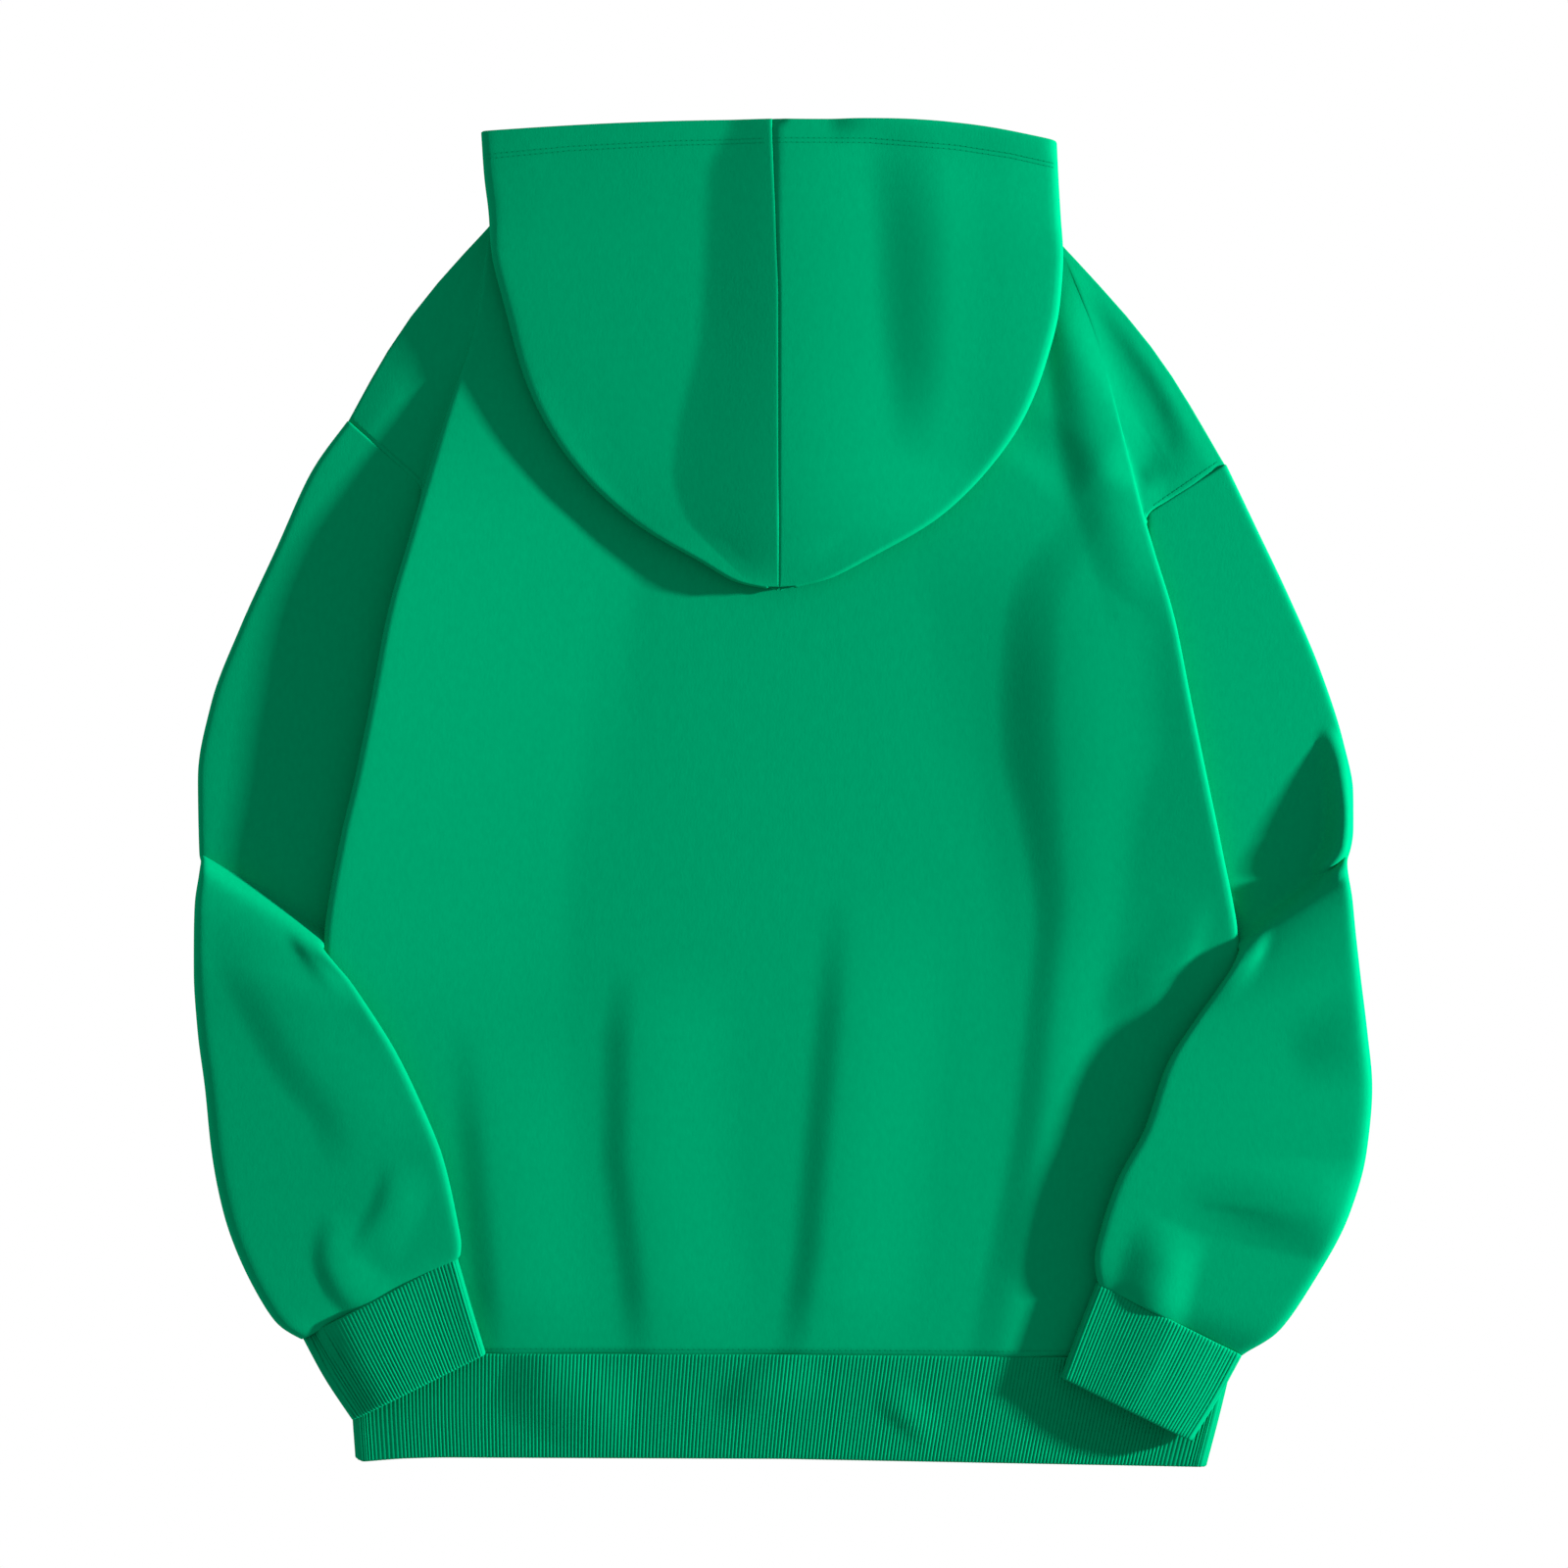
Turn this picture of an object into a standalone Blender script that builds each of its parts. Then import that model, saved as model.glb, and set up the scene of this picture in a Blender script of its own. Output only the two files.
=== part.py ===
"""A zip-up fleece hoodie laid flat on its front, sleeves brought down over its sides and hood flopped on its back.

Tables hold real millimetres. +X is the wearer's right, +Y points from the hem to the hood, +Z out of the back.
The origin is on the surface that the hoodie rests on, under the middle of its outline. Every cloth piece is a net
of control points, a row for each section, smoothed and then thickened into a wall.
"""

import math

import bmesh
import bpy
import numpy as np
from mathutils import Vector

MM = 0.001
FLEECE = 2.0  # wall of the brushed fleece
RIB = 2.4  # wall of the 1x1 rib of hem and cuffs
SEAM = 0.35  # clear gap between two pieces that are sewn together
FRONT_Z = 1.0  # middle of the front panels' wall, which lies on the surface
PLACKET_X = 5.5  # half the gap between the front edges, where the zip shows
PLACKET_RISE = 2.2  # the front edges lift over the zip
PLACKET_WIDTH = 26.0  # and are down again this far out
ROLL_WIDTH = 140.0  # the back rises over this width towards its rolled sides
ROLL_POWER = 1.3
CREST_INSET = 8.0  # from the outermost point of a rolled side in to its crest
NECK_BACK_DIP = 27.0  # the back neckline's depth below its ends
SHOULDER_ROWS = 5  # the body sections that reach out to shoulder seam and armhole
SHOULDER_BULGE = 10.0  # the shoulder seam bulges this far out of a straight line
SHOULDER_BEND = (1, 0.8, 0.5, 0.2)  # how much these sections follow that bulge
NECK_BEND = (1, 0.7, 0.4, 0.2, 0.08)  # how much these sections of the front follow the neckline's curve
HEM_SEAM_Y = -320.0

# One row for each section of the body, from the neck down to the hem seam. The roll is the outline of the raised
# body, the edge is where the panel ends: at the shoulder and armhole first, then at the side seam under the roll.
SIDE_COLUMNS = ("roll_x", "roll_y", "crest_z", "edge_x", "edge_y", "edge_z")
LEFT_SIDE = (
    (-163, 319.5, 3.6, -246, 210, 3.4),
    (-170, 290, 9.0, -236, 201, 5.0),
    (-176, 258, 13.0, -226, 192, 5.4),
    (-188, 222, 17.0, -214, 181, 5.6),
    (-203, 172, 18.5, -206, 173, 6.2),
    (-211, 144, 19.0, -202, 143, 8.6),
    (-223, 102, 19.0, -214, 102, 8.6),
    (-233, 50, 19.0, -224, 50, 8.6),
    (-242, 7, 19.0, -232, 7, 6.6),
    (-251, -31, 19.0, -241, -31, 4.4),
    (-260, -93, 18.0, -249, -93, 3.4),
    (-259, -150, 13.5, -250, -150, 3.4),
    (-255, -220, 11.0, -248, -220, 3.4),
    (-250, -287, 9.0, -244, -287, 3.4),
    (-245, -320, 7.6, -240, -320, 3.4),
)
RIGHT_SIDE = (
    (157, 315.0, 3.8, 253, 186, 3.4),
    (167, 290, 9.0, 244, 181, 5.0),
    (178, 262, 13.0, 234, 174, 5.4),
    (190, 218, 17.0, 222, 167, 5.6),
    (205, 158, 18.5, 208, 157, 6.2),
    (212, 134, 19.0, 203, 133, 8.6),
    (222, 100, 19.0, 213, 100, 8.6),
    (232, 50, 19.0, 223, 50, 8.6),
    (241, 7, 19.0, 231, 7, 6.6),
    (249, -31, 19.0, 239, -31, 4.4),
    (260, -93, 18.0, 249, -93, 3.4),
    (262, -150, 13.5, 253, -150, 3.4),
    (262, -220, 11.0, 255, -220, 3.4),
    (260, -287, 9.0, 254, -287, 3.4),
    (256, -323, 7.6, 251, -323, 3.4),
)
# The same sections at the middle: how much of the neckline's dip is left, and how far up the front panels reach.
MIDDLE_COLUMNS = ("dip", "front_y")
MIDDLE = (
    (1.0, 259),
    (0.62, 238),
    (0.32, 214),
    (0.1, 186),
    (0, 158),
    (0, 134),
    (0, 100),
    (0, 50),
    (0, 7),
    (0, -31),
    (0, -93),
    (0, -150),
    (0, -220),
    (0, -287),
    (0, -321),
)
# Height of the back along its middle.
SPINE_COLUMNS = ("y", "z")
SPINE = ((-330, 8.2), (-150, 7.6), (170, 7.6), (222, 8.2), (258, 9.4), (322, 8.6))
# Folds of the back, each a route from its faded top to the hem seam. The left side of a fold is its steep one.
FOLD_COLUMNS = ("x", "y", "height")
BACK_FOLDS = (
    ((-92, -95, 0), (-96, -140, 3.0), (-97, -208, 3.4), (-88, -276, 3.2), (-83, -330, 2.8)),
    ((30, -55, 0), (25, -124, 3.0), (18, -197, 3.6), (12, -264, 3.6), (1, -330, 3.0)),
    ((169, 268, 0), (184, 184, 1.6), (169, 116, 2.4), (147, 72, 3.2), (130, 38, 3.8), (136, 4, 3.6), (152, -39, 3.0),
     (149, -100, 3.2), (132, -197, 3.4), (113, -287, 3.4), (108, -330, 2.8)),
    ((-184, -130, 0), (-179, -197, 2.6), (-171, -287, 3.2), (-167, -330, 2.8)),
)
FOLD_RISE = 16.0  # width of a fold's steep left side
FOLD_FALL = 62.0  # width of its gentle right side
SEAM_FADE = (-322.0, 0.35, -285.0)  # at the hem seam this share of a fold is left, and all of it from here up
COVER_REACH = 9.0  # what lies over a rolled side keeps its full height this far out
COVER_FADE = 16.0  # and comes down to the surface over this width
LYING_GAP = 1.5  # clear height between the back and what lies on it

# Sleeves: outer and inner edge of the flattened tube at each section, the middle height there, and the share of the
# width over which the tube climbs from the outer height to the inner one. The step to the forearm is in rows 6 to 10.
SLEEVE_COLUMNS = ("outer_x", "outer_y", "outer_z", "inner_x", "inner_y", "inner_z", "climb")
LEFT_SLEEVE = (
    (-246.6, 209.4, 3.3, -206.6, 172.4, 3.3, 1),
    (-267, 184, 3.3, -205, 138, 3.3, 1),
    (-290, 139, 3.3, -217, 98, 3.3, 1),
    (-310, 94, 3.3, -227, 53, 3.3, 1),
    (-326, 50, 3.3, -238.5, 13, 3.3, 1),
    (-334, 8, 3.3, -248, -24, 3.3, 1),
    (-333, -22, 3.3, -256.5, -64, 3.3, 1),
    (-331, -36, 3.6, -263, -84, 5.0, 1),
    (-330, -42, 4.4, -267.5, -90, 12.5, 0.9),
    (-331, -49, 5.2, -265, -86.5, 20.5, 0.9),
    (-333, -62, 5.6, -256, -93, 24.6, 0.85),
    (-335, -82, 5.6, -246, -106, 24.0, 0.8),
    (-335, -104, 5.6, -234, -123, 23.0, 0.72),
    (-333, -136, 5.6, -219, -147, 21.0, 0.6),
    (-329, -168, 5.6, -204, -178, 19.2, 0.52),
    (-324, -204, 5.6, -192, -208, 17.6, 0.5),
    (-317, -240, 5.8, -185, -238, 16.8, 0.5),
    (-303, -276, 6.2, -182, -256, 16.4, 0.5),
    (-285, -304, 6.6, -183, -263, 16.0, 0.5),
    (-273, -311, 6.8, -186, -264.5, 15.6, 0.5),
)
RIGHT_SLEEVE = (
    (253.4, 185.3, 3.3, 208.5, 156.3, 3.3, 1),
    (269, 152, 3.3, 206, 124, 3.3, 1),
    (288, 112, 3.3, 218, 88, 3.3, 1),
    (306, 70, 3.3, 226.5, 48, 3.3, 1),
    (319, 30, 3.3, 239, 8, 3.3, 1),
    (325, 0, 3.3, 248, -28, 3.3, 1),
    (325, -22, 3.3, 256.5, -64, 3.3, 1),
    (323, -34, 3.8, 263.5, -84, 5.0, 1),
    (321, -40, 5.0, 268.5, -90, 12.5, 0.9),
    (321, -46, 6.2, 266, -86.5, 20.5, 0.9),
    (323, -58, 6.2, 256, -99, 24.6, 0.85),
    (325, -78, 6.0, 246, -114, 24.0, 0.8),
    (328, -104, 5.6, 232, -133, 23.0, 0.72),
    (332, -136, 5.6, 218, -155, 21.0, 0.6),
    (335, -168, 5.6, 205, -192, 19.2, 0.52),
    (332, -204, 5.6, 190, -220, 17.6, 0.5),
    (322, -240, 5.8, 181, -246, 16.8, 0.5),
    (303, -276, 6.2, 177, -264, 16.4, 0.5),
    (279, -308, 6.6, 178, -273, 16.0, 0.5),
    (260, -320, 6.8, 180, -279.5, 15.6, 0.5),
)
TUBE_SHARES = (0, 0.012, 0.04, 0.12, 0.24, 0.36, 0.48, 0.6, 0.72, 0.84, 0.93, 0.975, 1.0)
FOREARM_ROW = 10  # from this section on a sleeve lies on the body
SLEEVE_LOFT = 2.3  # from the middle of the flattened sleeve to the middle of each wall
LEFT_CUFF = (
    (-272.4, -312.2, 6.8, -184.9, -266.8, 15.6, 0.5),
    (-260, -334, 7.6, -178, -292, 14.4, 0.45),
    (-245, -357.5, 9.0, -169.5, -320, 13.6, 0.4),
)
RIGHT_CUFF = (
    (260.6, -321.7, 6.8, 180.4, -280.6, 15.6, 0.5),
    (246, -345, 7.6, 169, -307, 14.4, 0.45),
    (231.5, -368, 9.0, 159.5, -333, 13.6, 0.4),
)
CUFF_LOFT = 2.6

# Hood: the centre seam and the folded side of each section, from the opening down to the tip, with the heights of the
# upper wall at the seam and near the fold, and of the lower wall at the fold and at its inner end.
HOOD_COLUMNS = ("seam_x", "seam_y", "side_x", "side_y", "seam_z", "shoulder_z", "low_side_z", "low_inner_z")
LEFT_HOOD = (
    (-6, 385, -171, 377, 12.0, 8.0, 1.0, 1.0),
    (-5, 356, -169, 350, 15.0, 12.0, 1.0, 1.0),
    (-4, 336, -166.5, 331, 17.5, 15.0, 1.4, 1.0),
    (-3, 310, -164.5, 307, 19.2, 17.5, 11.0, 12.0),
    (-2, 280, -156, 272, 20.0, 18.5, 13.6, 12.2),
    (-2, 246, -146, 236, 20.2, 19.0, 14.2, 11.8),
    (-2, 214, -130, 203, 20.2, 19.0, 13.2, 11.0),
    (-2, 186, -110, 177, 20.0, 18.4, 12.4, 11.0),
    (-2, 160, -80, 151, 19.4, 17.6, 11.6, 11.0),
    (-2, 140, -48, 132.5, 18.0, 16.4, 11.2, 11.0),
    (-2, 127, -22, 121, 16.2, 15.0, 11.0, 11.0),
    (-2, 120, -8, 117.5, 14.6, 14.0, 11.0, 11.0),
)
RIGHT_HOOD = (
    (-5.4, 385, 156, 371, 12.0, 8.0, 1.0, 1.0),
    (-4.4, 356, 157, 346, 15.0, 12.0, 1.0, 1.0),
    (-3.4, 336, 158, 327, 17.5, 15.0, 1.4, 1.0),
    (-2.4, 310, 159, 305, 19.2, 17.5, 11.0, 12.0),
    (-1.4, 280, 157, 276, 20.0, 18.5, 13.6, 12.2),
    (-1.4, 246, 149, 243, 20.2, 19.0, 14.2, 11.8),
    (-1.4, 214, 137, 213, 20.2, 19.0, 13.2, 11.0),
    (-1.4, 186, 117, 184, 20.0, 18.4, 12.4, 11.0),
    (-1.4, 160, 88, 156, 19.4, 17.6, 11.6, 11.0),
    (-1.4, 140, 54, 136, 18.0, 16.4, 11.2, 11.0),
    (-1.4, 127, 22, 123, 16.2, 15.0, 11.0, 11.0),
    (-1.4, 120, 6, 118.5, 14.6, 14.0, 11.0, 11.0),
)
HOOD_UPPER_SHARES = (0, 0.14, 0.28, 0.42, 0.56, 0.7, 0.82, 0.92, 0.975)
HOOD_LOWER_SHARES = (0.025, 0.09, 0.16, 0.32, 0.5, 0.7, 1.0)
HOOD_ARC_LEFT = (1.4, 1.0)  # height of the arc of the opening's edge, and how far it leans to the side
HOOD_ARC_RIGHT = (5.4, 1.25)
ARC_BEND = (1, 0.9, 0.7, 0.4, 0.15)  # how much these sections of the hood follow that arc
NECK_ROWS = 3  # this many rows of the hood lie beyond the neck seam, and their lower walls reach down to the zip
NECK_COLUMN = 0  # the slit between those rows and the next starts at this lower column
HOOD_CLEARANCE = 0.6  # more than LYING_GAP, over the back's folds
HOOD_LOFT = 5.2  # from the hood's lower wall to its upper one, at least
CHIN_WIDTH = 5.0  # how far the chin pieces' ends reach up from the front panels
CHIN_GAP = 2.8  # between the middles of two walls that meet at the neckline
NECK_LEFT = (-142, 320.5)  # where shoulder seam and neckline meet
NECK_RIGHT = (138, 315.5)

# Hem band: its left and right fold and the height of its upper wall, at its seam and at its free edge.
HEM_COLUMNS = ("left_x", "left_y", "middle_y", "right_x", "right_y", "upper_z")
HEM = (
    (-245, -323.0, -323.4, 256, -326, 8.0),
    (-244, -350, -350, 248.5, -354, 7.8),
    (-242, -379, -380, 240.5, -384.6, 7.6),
)
HEM_FRONT_Z = 1.2

# Zip, all at the middle of the front.
TAPE_WIDTH = 12.0
TAPE_THICKNESS = 0.7
CHAIN_WIDTH = 5.8
CHAIN_THICKNESS = 2.2
CHAIN_Z = 4.95  # middle of chain and tapes
ZIP_TOP = 256.0
ZIP_BOTTOM = -379.0
SLIDER_TOP = 254.0
SLIDER_LENGTH = 12.0
SLIDER_WIDTH = 8.4
PLATE = 1.0
PLATE_LOW_Z = 2.4  # underside of the slider's outer plate
PLATE_HIGH_Z = 6.4  # underside of its inner plate
BRIDGE_LENGTH = 7.0
BRIDGE_WIDTH = 1.8
BRIDGE_THICKNESS = 0.7
BRIDGE_Z = 0.2
PIVOT_Y = SLIDER_TOP - SLIDER_LENGTH / 2
PIVOT_Z = 1.55
TAB_WIDTH = 6.0
TAB_LENGTH = 26.0
TAB_THICKNESS = 1.1
TAB_EYE_LENGTH = 7.5
TAB_EYE_WIDTH = 3.2


def columns(names, table):
    """The table as a dictionary of arrays, one for each named column."""
    return dict(zip(names, np.array(table, float).T))


def smooth(net, steps):
    before = np.diff(net, axis=0)
    product = before[1:] * before[:-1]
    total = before[1:] + before[:-1]
    inner = np.where(product > 0, 2 * product / np.where(total == 0, 1, total), 0)
    slopes = np.concatenate([before[:1], inner, before[-1:]])
    rows = []
    for at in np.linspace(0, len(net) - 1, (len(net) - 1) * steps + 1):
        i = min(int(at + 1e-9), len(net) - 2)
        t = at - i
        rows.append(
            net[i] * (1 + 2 * t) * (1 - t) ** 2
            + slopes[i] * t * (1 - t) ** 2
            + net[i + 1] * t * t * (3 - 2 * t)
            + slopes[i + 1] * t * t * (t - 1)
        )
    return np.array(rows)


def grid_normals(grid, closed):
    """Unit normals of a grid of points, whose last column meets its first one where closed is true."""
    down = np.gradient(grid, axis=0)
    if closed:
        across = (np.roll(grid, -1, axis=1) - np.roll(grid, 1, axis=1)) / 2
    else:
        across = np.gradient(grid, axis=1)
    normals = np.cross(across, down)
    return normals / np.maximum(np.linalg.norm(normals, axis=2, keepdims=True), 1e-9)


def wall_mesh(name, grid, thickness, closed=False, holes=()):
    """A closed wall around the grid's surface. holes lists (row, column) cells that are left out."""
    n_rows, n_columns = grid.shape[:2]
    normals = grid_normals(grid, closed)
    points = np.concatenate([(grid + normals * thickness / 2), (grid - normals * thickness / 2)]).reshape(-1, 3)
    other_side = n_rows * n_columns

    def vertex(row, column, side):
        return side * other_side + row * n_columns + column % n_columns

    cells = {
        (row, column)
        for row in range(n_rows - 1)
        for column in range(n_columns if closed else n_columns - 1)
    } - set(holes)
    span = n_columns if closed else None
    faces = []
    for row, column in sorted(cells):
        a, b, c, d = (row, column), (row, column + 1), (row + 1, column + 1), (row + 1, column)
        faces.append([vertex(*p, 0) for p in (d, c, b, a)])
        faces.append([vertex(*p, 1) for p in (a, b, c, d)])
        neighbours = ((row - 1, column, a, b), (row, column + 1, b, c), (row + 1, column, c, d), (row, column - 1, d, a))
        for other_row, other_column, start, end in neighbours:
            key = (other_row, other_column % span if span else other_column)
            if key not in cells:
                faces.append([vertex(*start, 0), vertex(*end, 0), vertex(*end, 1), vertex(*start, 1)])
    used = sorted({index for face in faces for index in face})
    order = {index: place for place, index in enumerate(used)}
    mesh = bpy.data.meshes.new(name)
    mesh.from_pydata((points[used] * MM).tolist(), [], [[order[index] for index in face] for face in faces])
    builder = bmesh.new()
    builder.from_mesh(mesh)
    bmesh.ops.recalc_face_normals(builder, faces=builder.faces)
    if builder.calc_volume(signed=True) < 0:
        bmesh.ops.reverse_faces(builder, faces=builder.faces)
    builder.to_mesh(mesh)
    builder.free()
    return mesh


def placket_lift(x):
    """How far the front pieces lift near the zip."""
    share = np.clip(1 - (np.abs(x) - PLACKET_X) / PLACKET_WIDTH, 0, 1)
    return PLACKET_RISE * share * share * (3 - 2 * share)


def side_sections(side_table):
    """For each body section: edge, shoulder, foot, brow and crest of its rolled side, from the edge in."""
    side = columns(SIDE_COLUMNS, side_table)
    roll = np.stack([side["roll_x"], side["roll_y"]], axis=1)
    edge = np.stack([side["edge_x"], side["edge_y"]], axis=1)
    inward = np.array([-np.sign(side["roll_x"][0]), 0.0])
    reach = np.linalg.norm(edge - roll, axis=1, keepdims=True)
    drop = side["crest_z"] - side["edge_z"]
    foot = roll + (edge - roll) / np.maximum(reach, 1e-6) * np.minimum(5.0, reach * 0.5)
    crest = roll + inward * CREST_INSET * np.clip(drop / 10, 0.4, 1)[:, None]
    shoulder = (edge + foot) / 2 + shoulder_bulge(edge, roll)
    shares = (0, 0.1, 0.2, 0.66, 1)
    sections = (edge, shoulder, foot, roll, crest)
    return np.stack([np.column_stack([xy, side["edge_z"] + f * drop]) for xy, f in zip(sections, shares)], axis=1)


def shoulder_bulge(edge, roll):
    """For each body section, how far the middle of its way from the edge to the roll bulges out."""
    along = edge[0] - roll[0]
    out = np.array([along[1], -along[0]]) / np.linalg.norm(along)
    if out[1] < 0:
        out = -out
    bends = np.zeros(len(edge))
    bends[: len(SHOULDER_BEND)] = SHOULDER_BEND
    return SHOULDER_BULGE * bends[:, None] * out


def fold_height(x, y):
    """Height that the back's folds add at a point."""
    total = np.zeros_like(x)
    for route in BACK_FOLDS:
        fold = columns(FOLD_COLUMNS, route[::-1])
        off = x - np.interp(y, fold["y"], fold["x"])
        high = np.interp(y, fold["y"], fold["height"], right=0)
        rise = np.clip(1 + off / FOLD_RISE, 0, 1)
        fall = np.clip(1 - off / FOLD_FALL, 0, 1)
        total += high * np.where(off < 0, rise * rise * (3 - 2 * rise), fall * fall * (3 - 2 * fall))
    low_y, share, full_y = SEAM_FADE
    return total * np.interp(y, (low_y, full_y), (share, 1))


def back_height(x, y):
    """Middle of the back panel's wall above the surface, at points between the crests of its rolled sides."""
    spine = columns(SPINE_COLUMNS, SPINE)
    base = np.interp(y, spine["y"], spine["z"])
    z = base.copy()
    for side_table in (LEFT_SIDE, RIGHT_SIDE):
        crest = side_sections(side_table)[::-1, 4]
        crest_x = np.interp(y, crest[:, 1], crest[:, 0])
        crest_z = np.interp(y, crest[:, 1], crest[:, 2])
        near = np.clip(1 - np.abs(x - crest_x) / ROLL_WIDTH, 0, 1)
        z += (crest_z - base) * near**ROLL_POWER
    return z + fold_height(x, y)


def lying_height(x, y):
    """Lowest middle height of a single wall that lies on the back or on the hem band at a point."""
    height = back_height(x, y)
    left = columns(SIDE_COLUMNS, LEFT_SIDE[::-1])
    right = columns(SIDE_COLUMNS, RIGHT_SIDE[::-1])
    out_left = np.interp(y, left["roll_y"], left["roll_x"]) - x
    out_right = x - np.interp(y, right["roll_y"], right["roll_x"])
    outside = np.maximum(out_left, out_right)
    cover = np.clip(1 - (outside - COVER_REACH) / COVER_FADE, 0, 1)
    hem_top = columns(HEM_COLUMNS, HEM)["upper_z"].max() + RIB / 2
    top = np.where(y > HEM_SEAM_Y, height + FLEECE / 2, hem_top)
    top = np.maximum(top, np.where(y > HEM_SEAM_Y - 12, hem_top, 0))
    return np.where(cover > 0, top, 0) * cover * cover * (3 - 2 * cover) + LYING_GAP + FLEECE / 2


def back_panel():
    """Rolled side, back between the crests, and the other rolled side of each section."""
    left = side_sections(LEFT_SIDE)
    right = side_sections(RIGHT_SIDE)[:, ::-1]
    dip = columns(MIDDLE_COLUMNS, MIDDLE)["dip"]
    spans = 22
    inner = []
    for step in range(1, spans):
        f = step / spans
        xy = left[:, 4, :2] * (1 - f) + right[:, 0, :2] * f
        xy[:, 1] -= NECK_BACK_DIP * dip * math.sin(math.pi * f) ** 0.7
        inner.append(np.column_stack([xy, back_height(xy[:, 0], xy[:, 1])]))
    net = np.concatenate([left, np.stack(inner, axis=1), right], axis=1)
    return wall_mesh("back_panel", smooth(net, 2), FLEECE)


def front_neck_y(x, neck):
    """The front neckline, from the end of the shoulder seam down to the zip."""
    g = np.clip((abs(neck[0]) - np.abs(x)) / (abs(neck[0]) - PLACKET_X), 0, 1)
    return neck[1] - (neck[1] - MIDDLE[0][1]) * np.sin(math.pi / 2 * g) ** 1.1


def front_panel(name, side_table, neck, zip_side):
    """Flat sections from armhole or side seam to the zip; the first one follows shoulder seam and neckline."""
    side = side_sections(side_table)
    middle = columns(MIDDLE_COLUMNS, MIDDLE)
    shares = np.linspace(0, 1, 10)[1:]
    rows = []
    bulge = shoulder_bulge(side[:, 0, :2], side[:, 3, :2])
    for k, (edge, _, _, roll, _) in enumerate(side[:, :, :2]):
        at_shoulder = k < SHOULDER_ROWS
        start = roll if at_shoulder else edge + (0.04 * -edge[0], 0)
        row = [edge * (1 - f) + start * f + bulge[k] * math.sin(math.pi * f) for f in (0, 1 / 3, 2 / 3, 1)]
        end = np.array([zip_side * PLACKET_X, middle["front_y"][k]])
        bend = NECK_BEND[k] if at_shoulder else 0
        for f in shares:
            point = start * (1 - f) + end * f
            curve_y = start[1] + (end[1] - start[1]) * (
                (front_neck_y(point[0], neck) - neck[1]) / (MIDDLE[0][1] - neck[1])
            )
            row.append(np.array([point[0], point[1] * (1 - bend) + curve_y * bend]))
        rows.append(row)
    net = np.array(rows)
    net = np.concatenate([net, FRONT_Z + placket_lift(net[:, :, :1])], axis=2)
    return wall_mesh(name, net, FLEECE)


def tube_grid(table, loft, thickness, first_over):
    """A flattened tube: a ring of wall points around each section's line from outer to inner edge. From the row
    first_over on it lies on the body."""
    section = columns(SLEEVE_COLUMNS, table)
    shares = np.array(TUBE_SHARES)
    outer = np.stack([section["outer_x"], section["outer_y"]], axis=1)[:, None]
    inner = np.stack([section["inner_x"], section["inner_y"]], axis=1)[:, None]
    xy = outer + (inner - outer) * shares[None, :, None]
    climb = np.clip(shares[None] / section["climb"][:, None], 0, 1)
    climb = climb * climb * (3 - 2 * climb)
    z = section["outer_z"][:, None] * (1 - climb) + section["inner_z"][:, None] * climb
    over = lying_height(xy[:, :, 0], xy[:, :, 1]) + loft + (thickness - FLEECE) / 2
    over[:first_over] = 0
    middle = np.concatenate([xy, np.maximum(z, over)[:, :, None]], axis=2)
    normals = grid_normals(middle, False)
    if normals[0, 0, 2] < 0:
        normals = -normals
    half = loft * np.clip(1 - np.abs(2 * shares - 1) ** 24, 0, 1) ** 0.5
    upper = middle + normals * half[None, :, None]
    lower = middle - normals * half[None, :, None]
    return np.concatenate([upper, lower[:, -2:0:-1]], axis=1)


def tube(name, table, loft, thickness, first_over=0):
    return wall_mesh(name, tube_grid(table, loft, thickness, first_over), thickness, closed=True)


def hood_net(table, neck, inner_x, arc):
    """Sections of one half of the hood, from the centre seam over the upper wall, round its side and back below."""
    hood = columns(HOOD_COLUMNS, table)
    chin_end = np.array([inner_x, MIDDLE[0][1] + CHIN_WIDTH])
    rows = []
    for k in range(len(table)):
        at = {column: values[k] for column, values in hood.items()}
        seam = np.array([at["seam_x"], at["seam_y"]])
        side = np.array([at["side_x"], at["side_y"]])
        width = np.linalg.norm(side - seam)
        over_back = k >= NECK_ROWS
        lower = []
        for g in HOOD_LOWER_SHARES:
            if over_back:
                point = side + (np.array([inner_x, at["seam_y"] - 2]) - side) * g
                z = lying_height(point[0], point[1]) + HOOD_CLEARANCE
            else:
                down = k / (NECK_ROWS - 1)
                opening = side + (chin_end - side) * g
                along_x = side[0] + (chin_end[0] - side[0]) * g
                at_neck = np.array([along_x, front_neck_y(along_x, neck) + CHIN_GAP])
                if abs(along_x) > abs(neck[0]):
                    share = (abs(side[0]) - abs(along_x)) / (abs(side[0]) - abs(neck[0]))
                    at_neck[1] = side[1] + (neck[1] + CHIN_GAP - side[1]) * share
                point = opening * (1 - down) + at_neck * down
                z = FRONT_Z + placket_lift(point[0])
            lower.append([*point, float(z)])
        low_z = lower[0][2]
        row = []
        for share in HOOD_UPPER_SHARES:
            # Near the side the wall bends over in the same way on any width.
            f = share if share < 0.8 else 1 - (1 - share) * min(1.0, 140 / max(width, 1))
            point = seam + (side - seam) * f
            if k < len(ARC_BEND):
                point[1] += arc[0] * ARC_BEND[k] * math.sin(math.pi * f ** arc[1])
            z = at["seam_z"] + (at["shoulder_z"] - at["seam_z"]) * share**2
            if over_back:
                z = max(z, float(lying_height(point[0], point[1])) + HOOD_CLEARANCE + HOOD_LOFT)
            row.append([*point, z - (0.14 * (z - low_z) if share > 0.95 else 0)])
        row.append([*side, (row[-1][2] + low_z) / 2])
        rows.append(row + lower)
    return np.array(rows)


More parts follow.
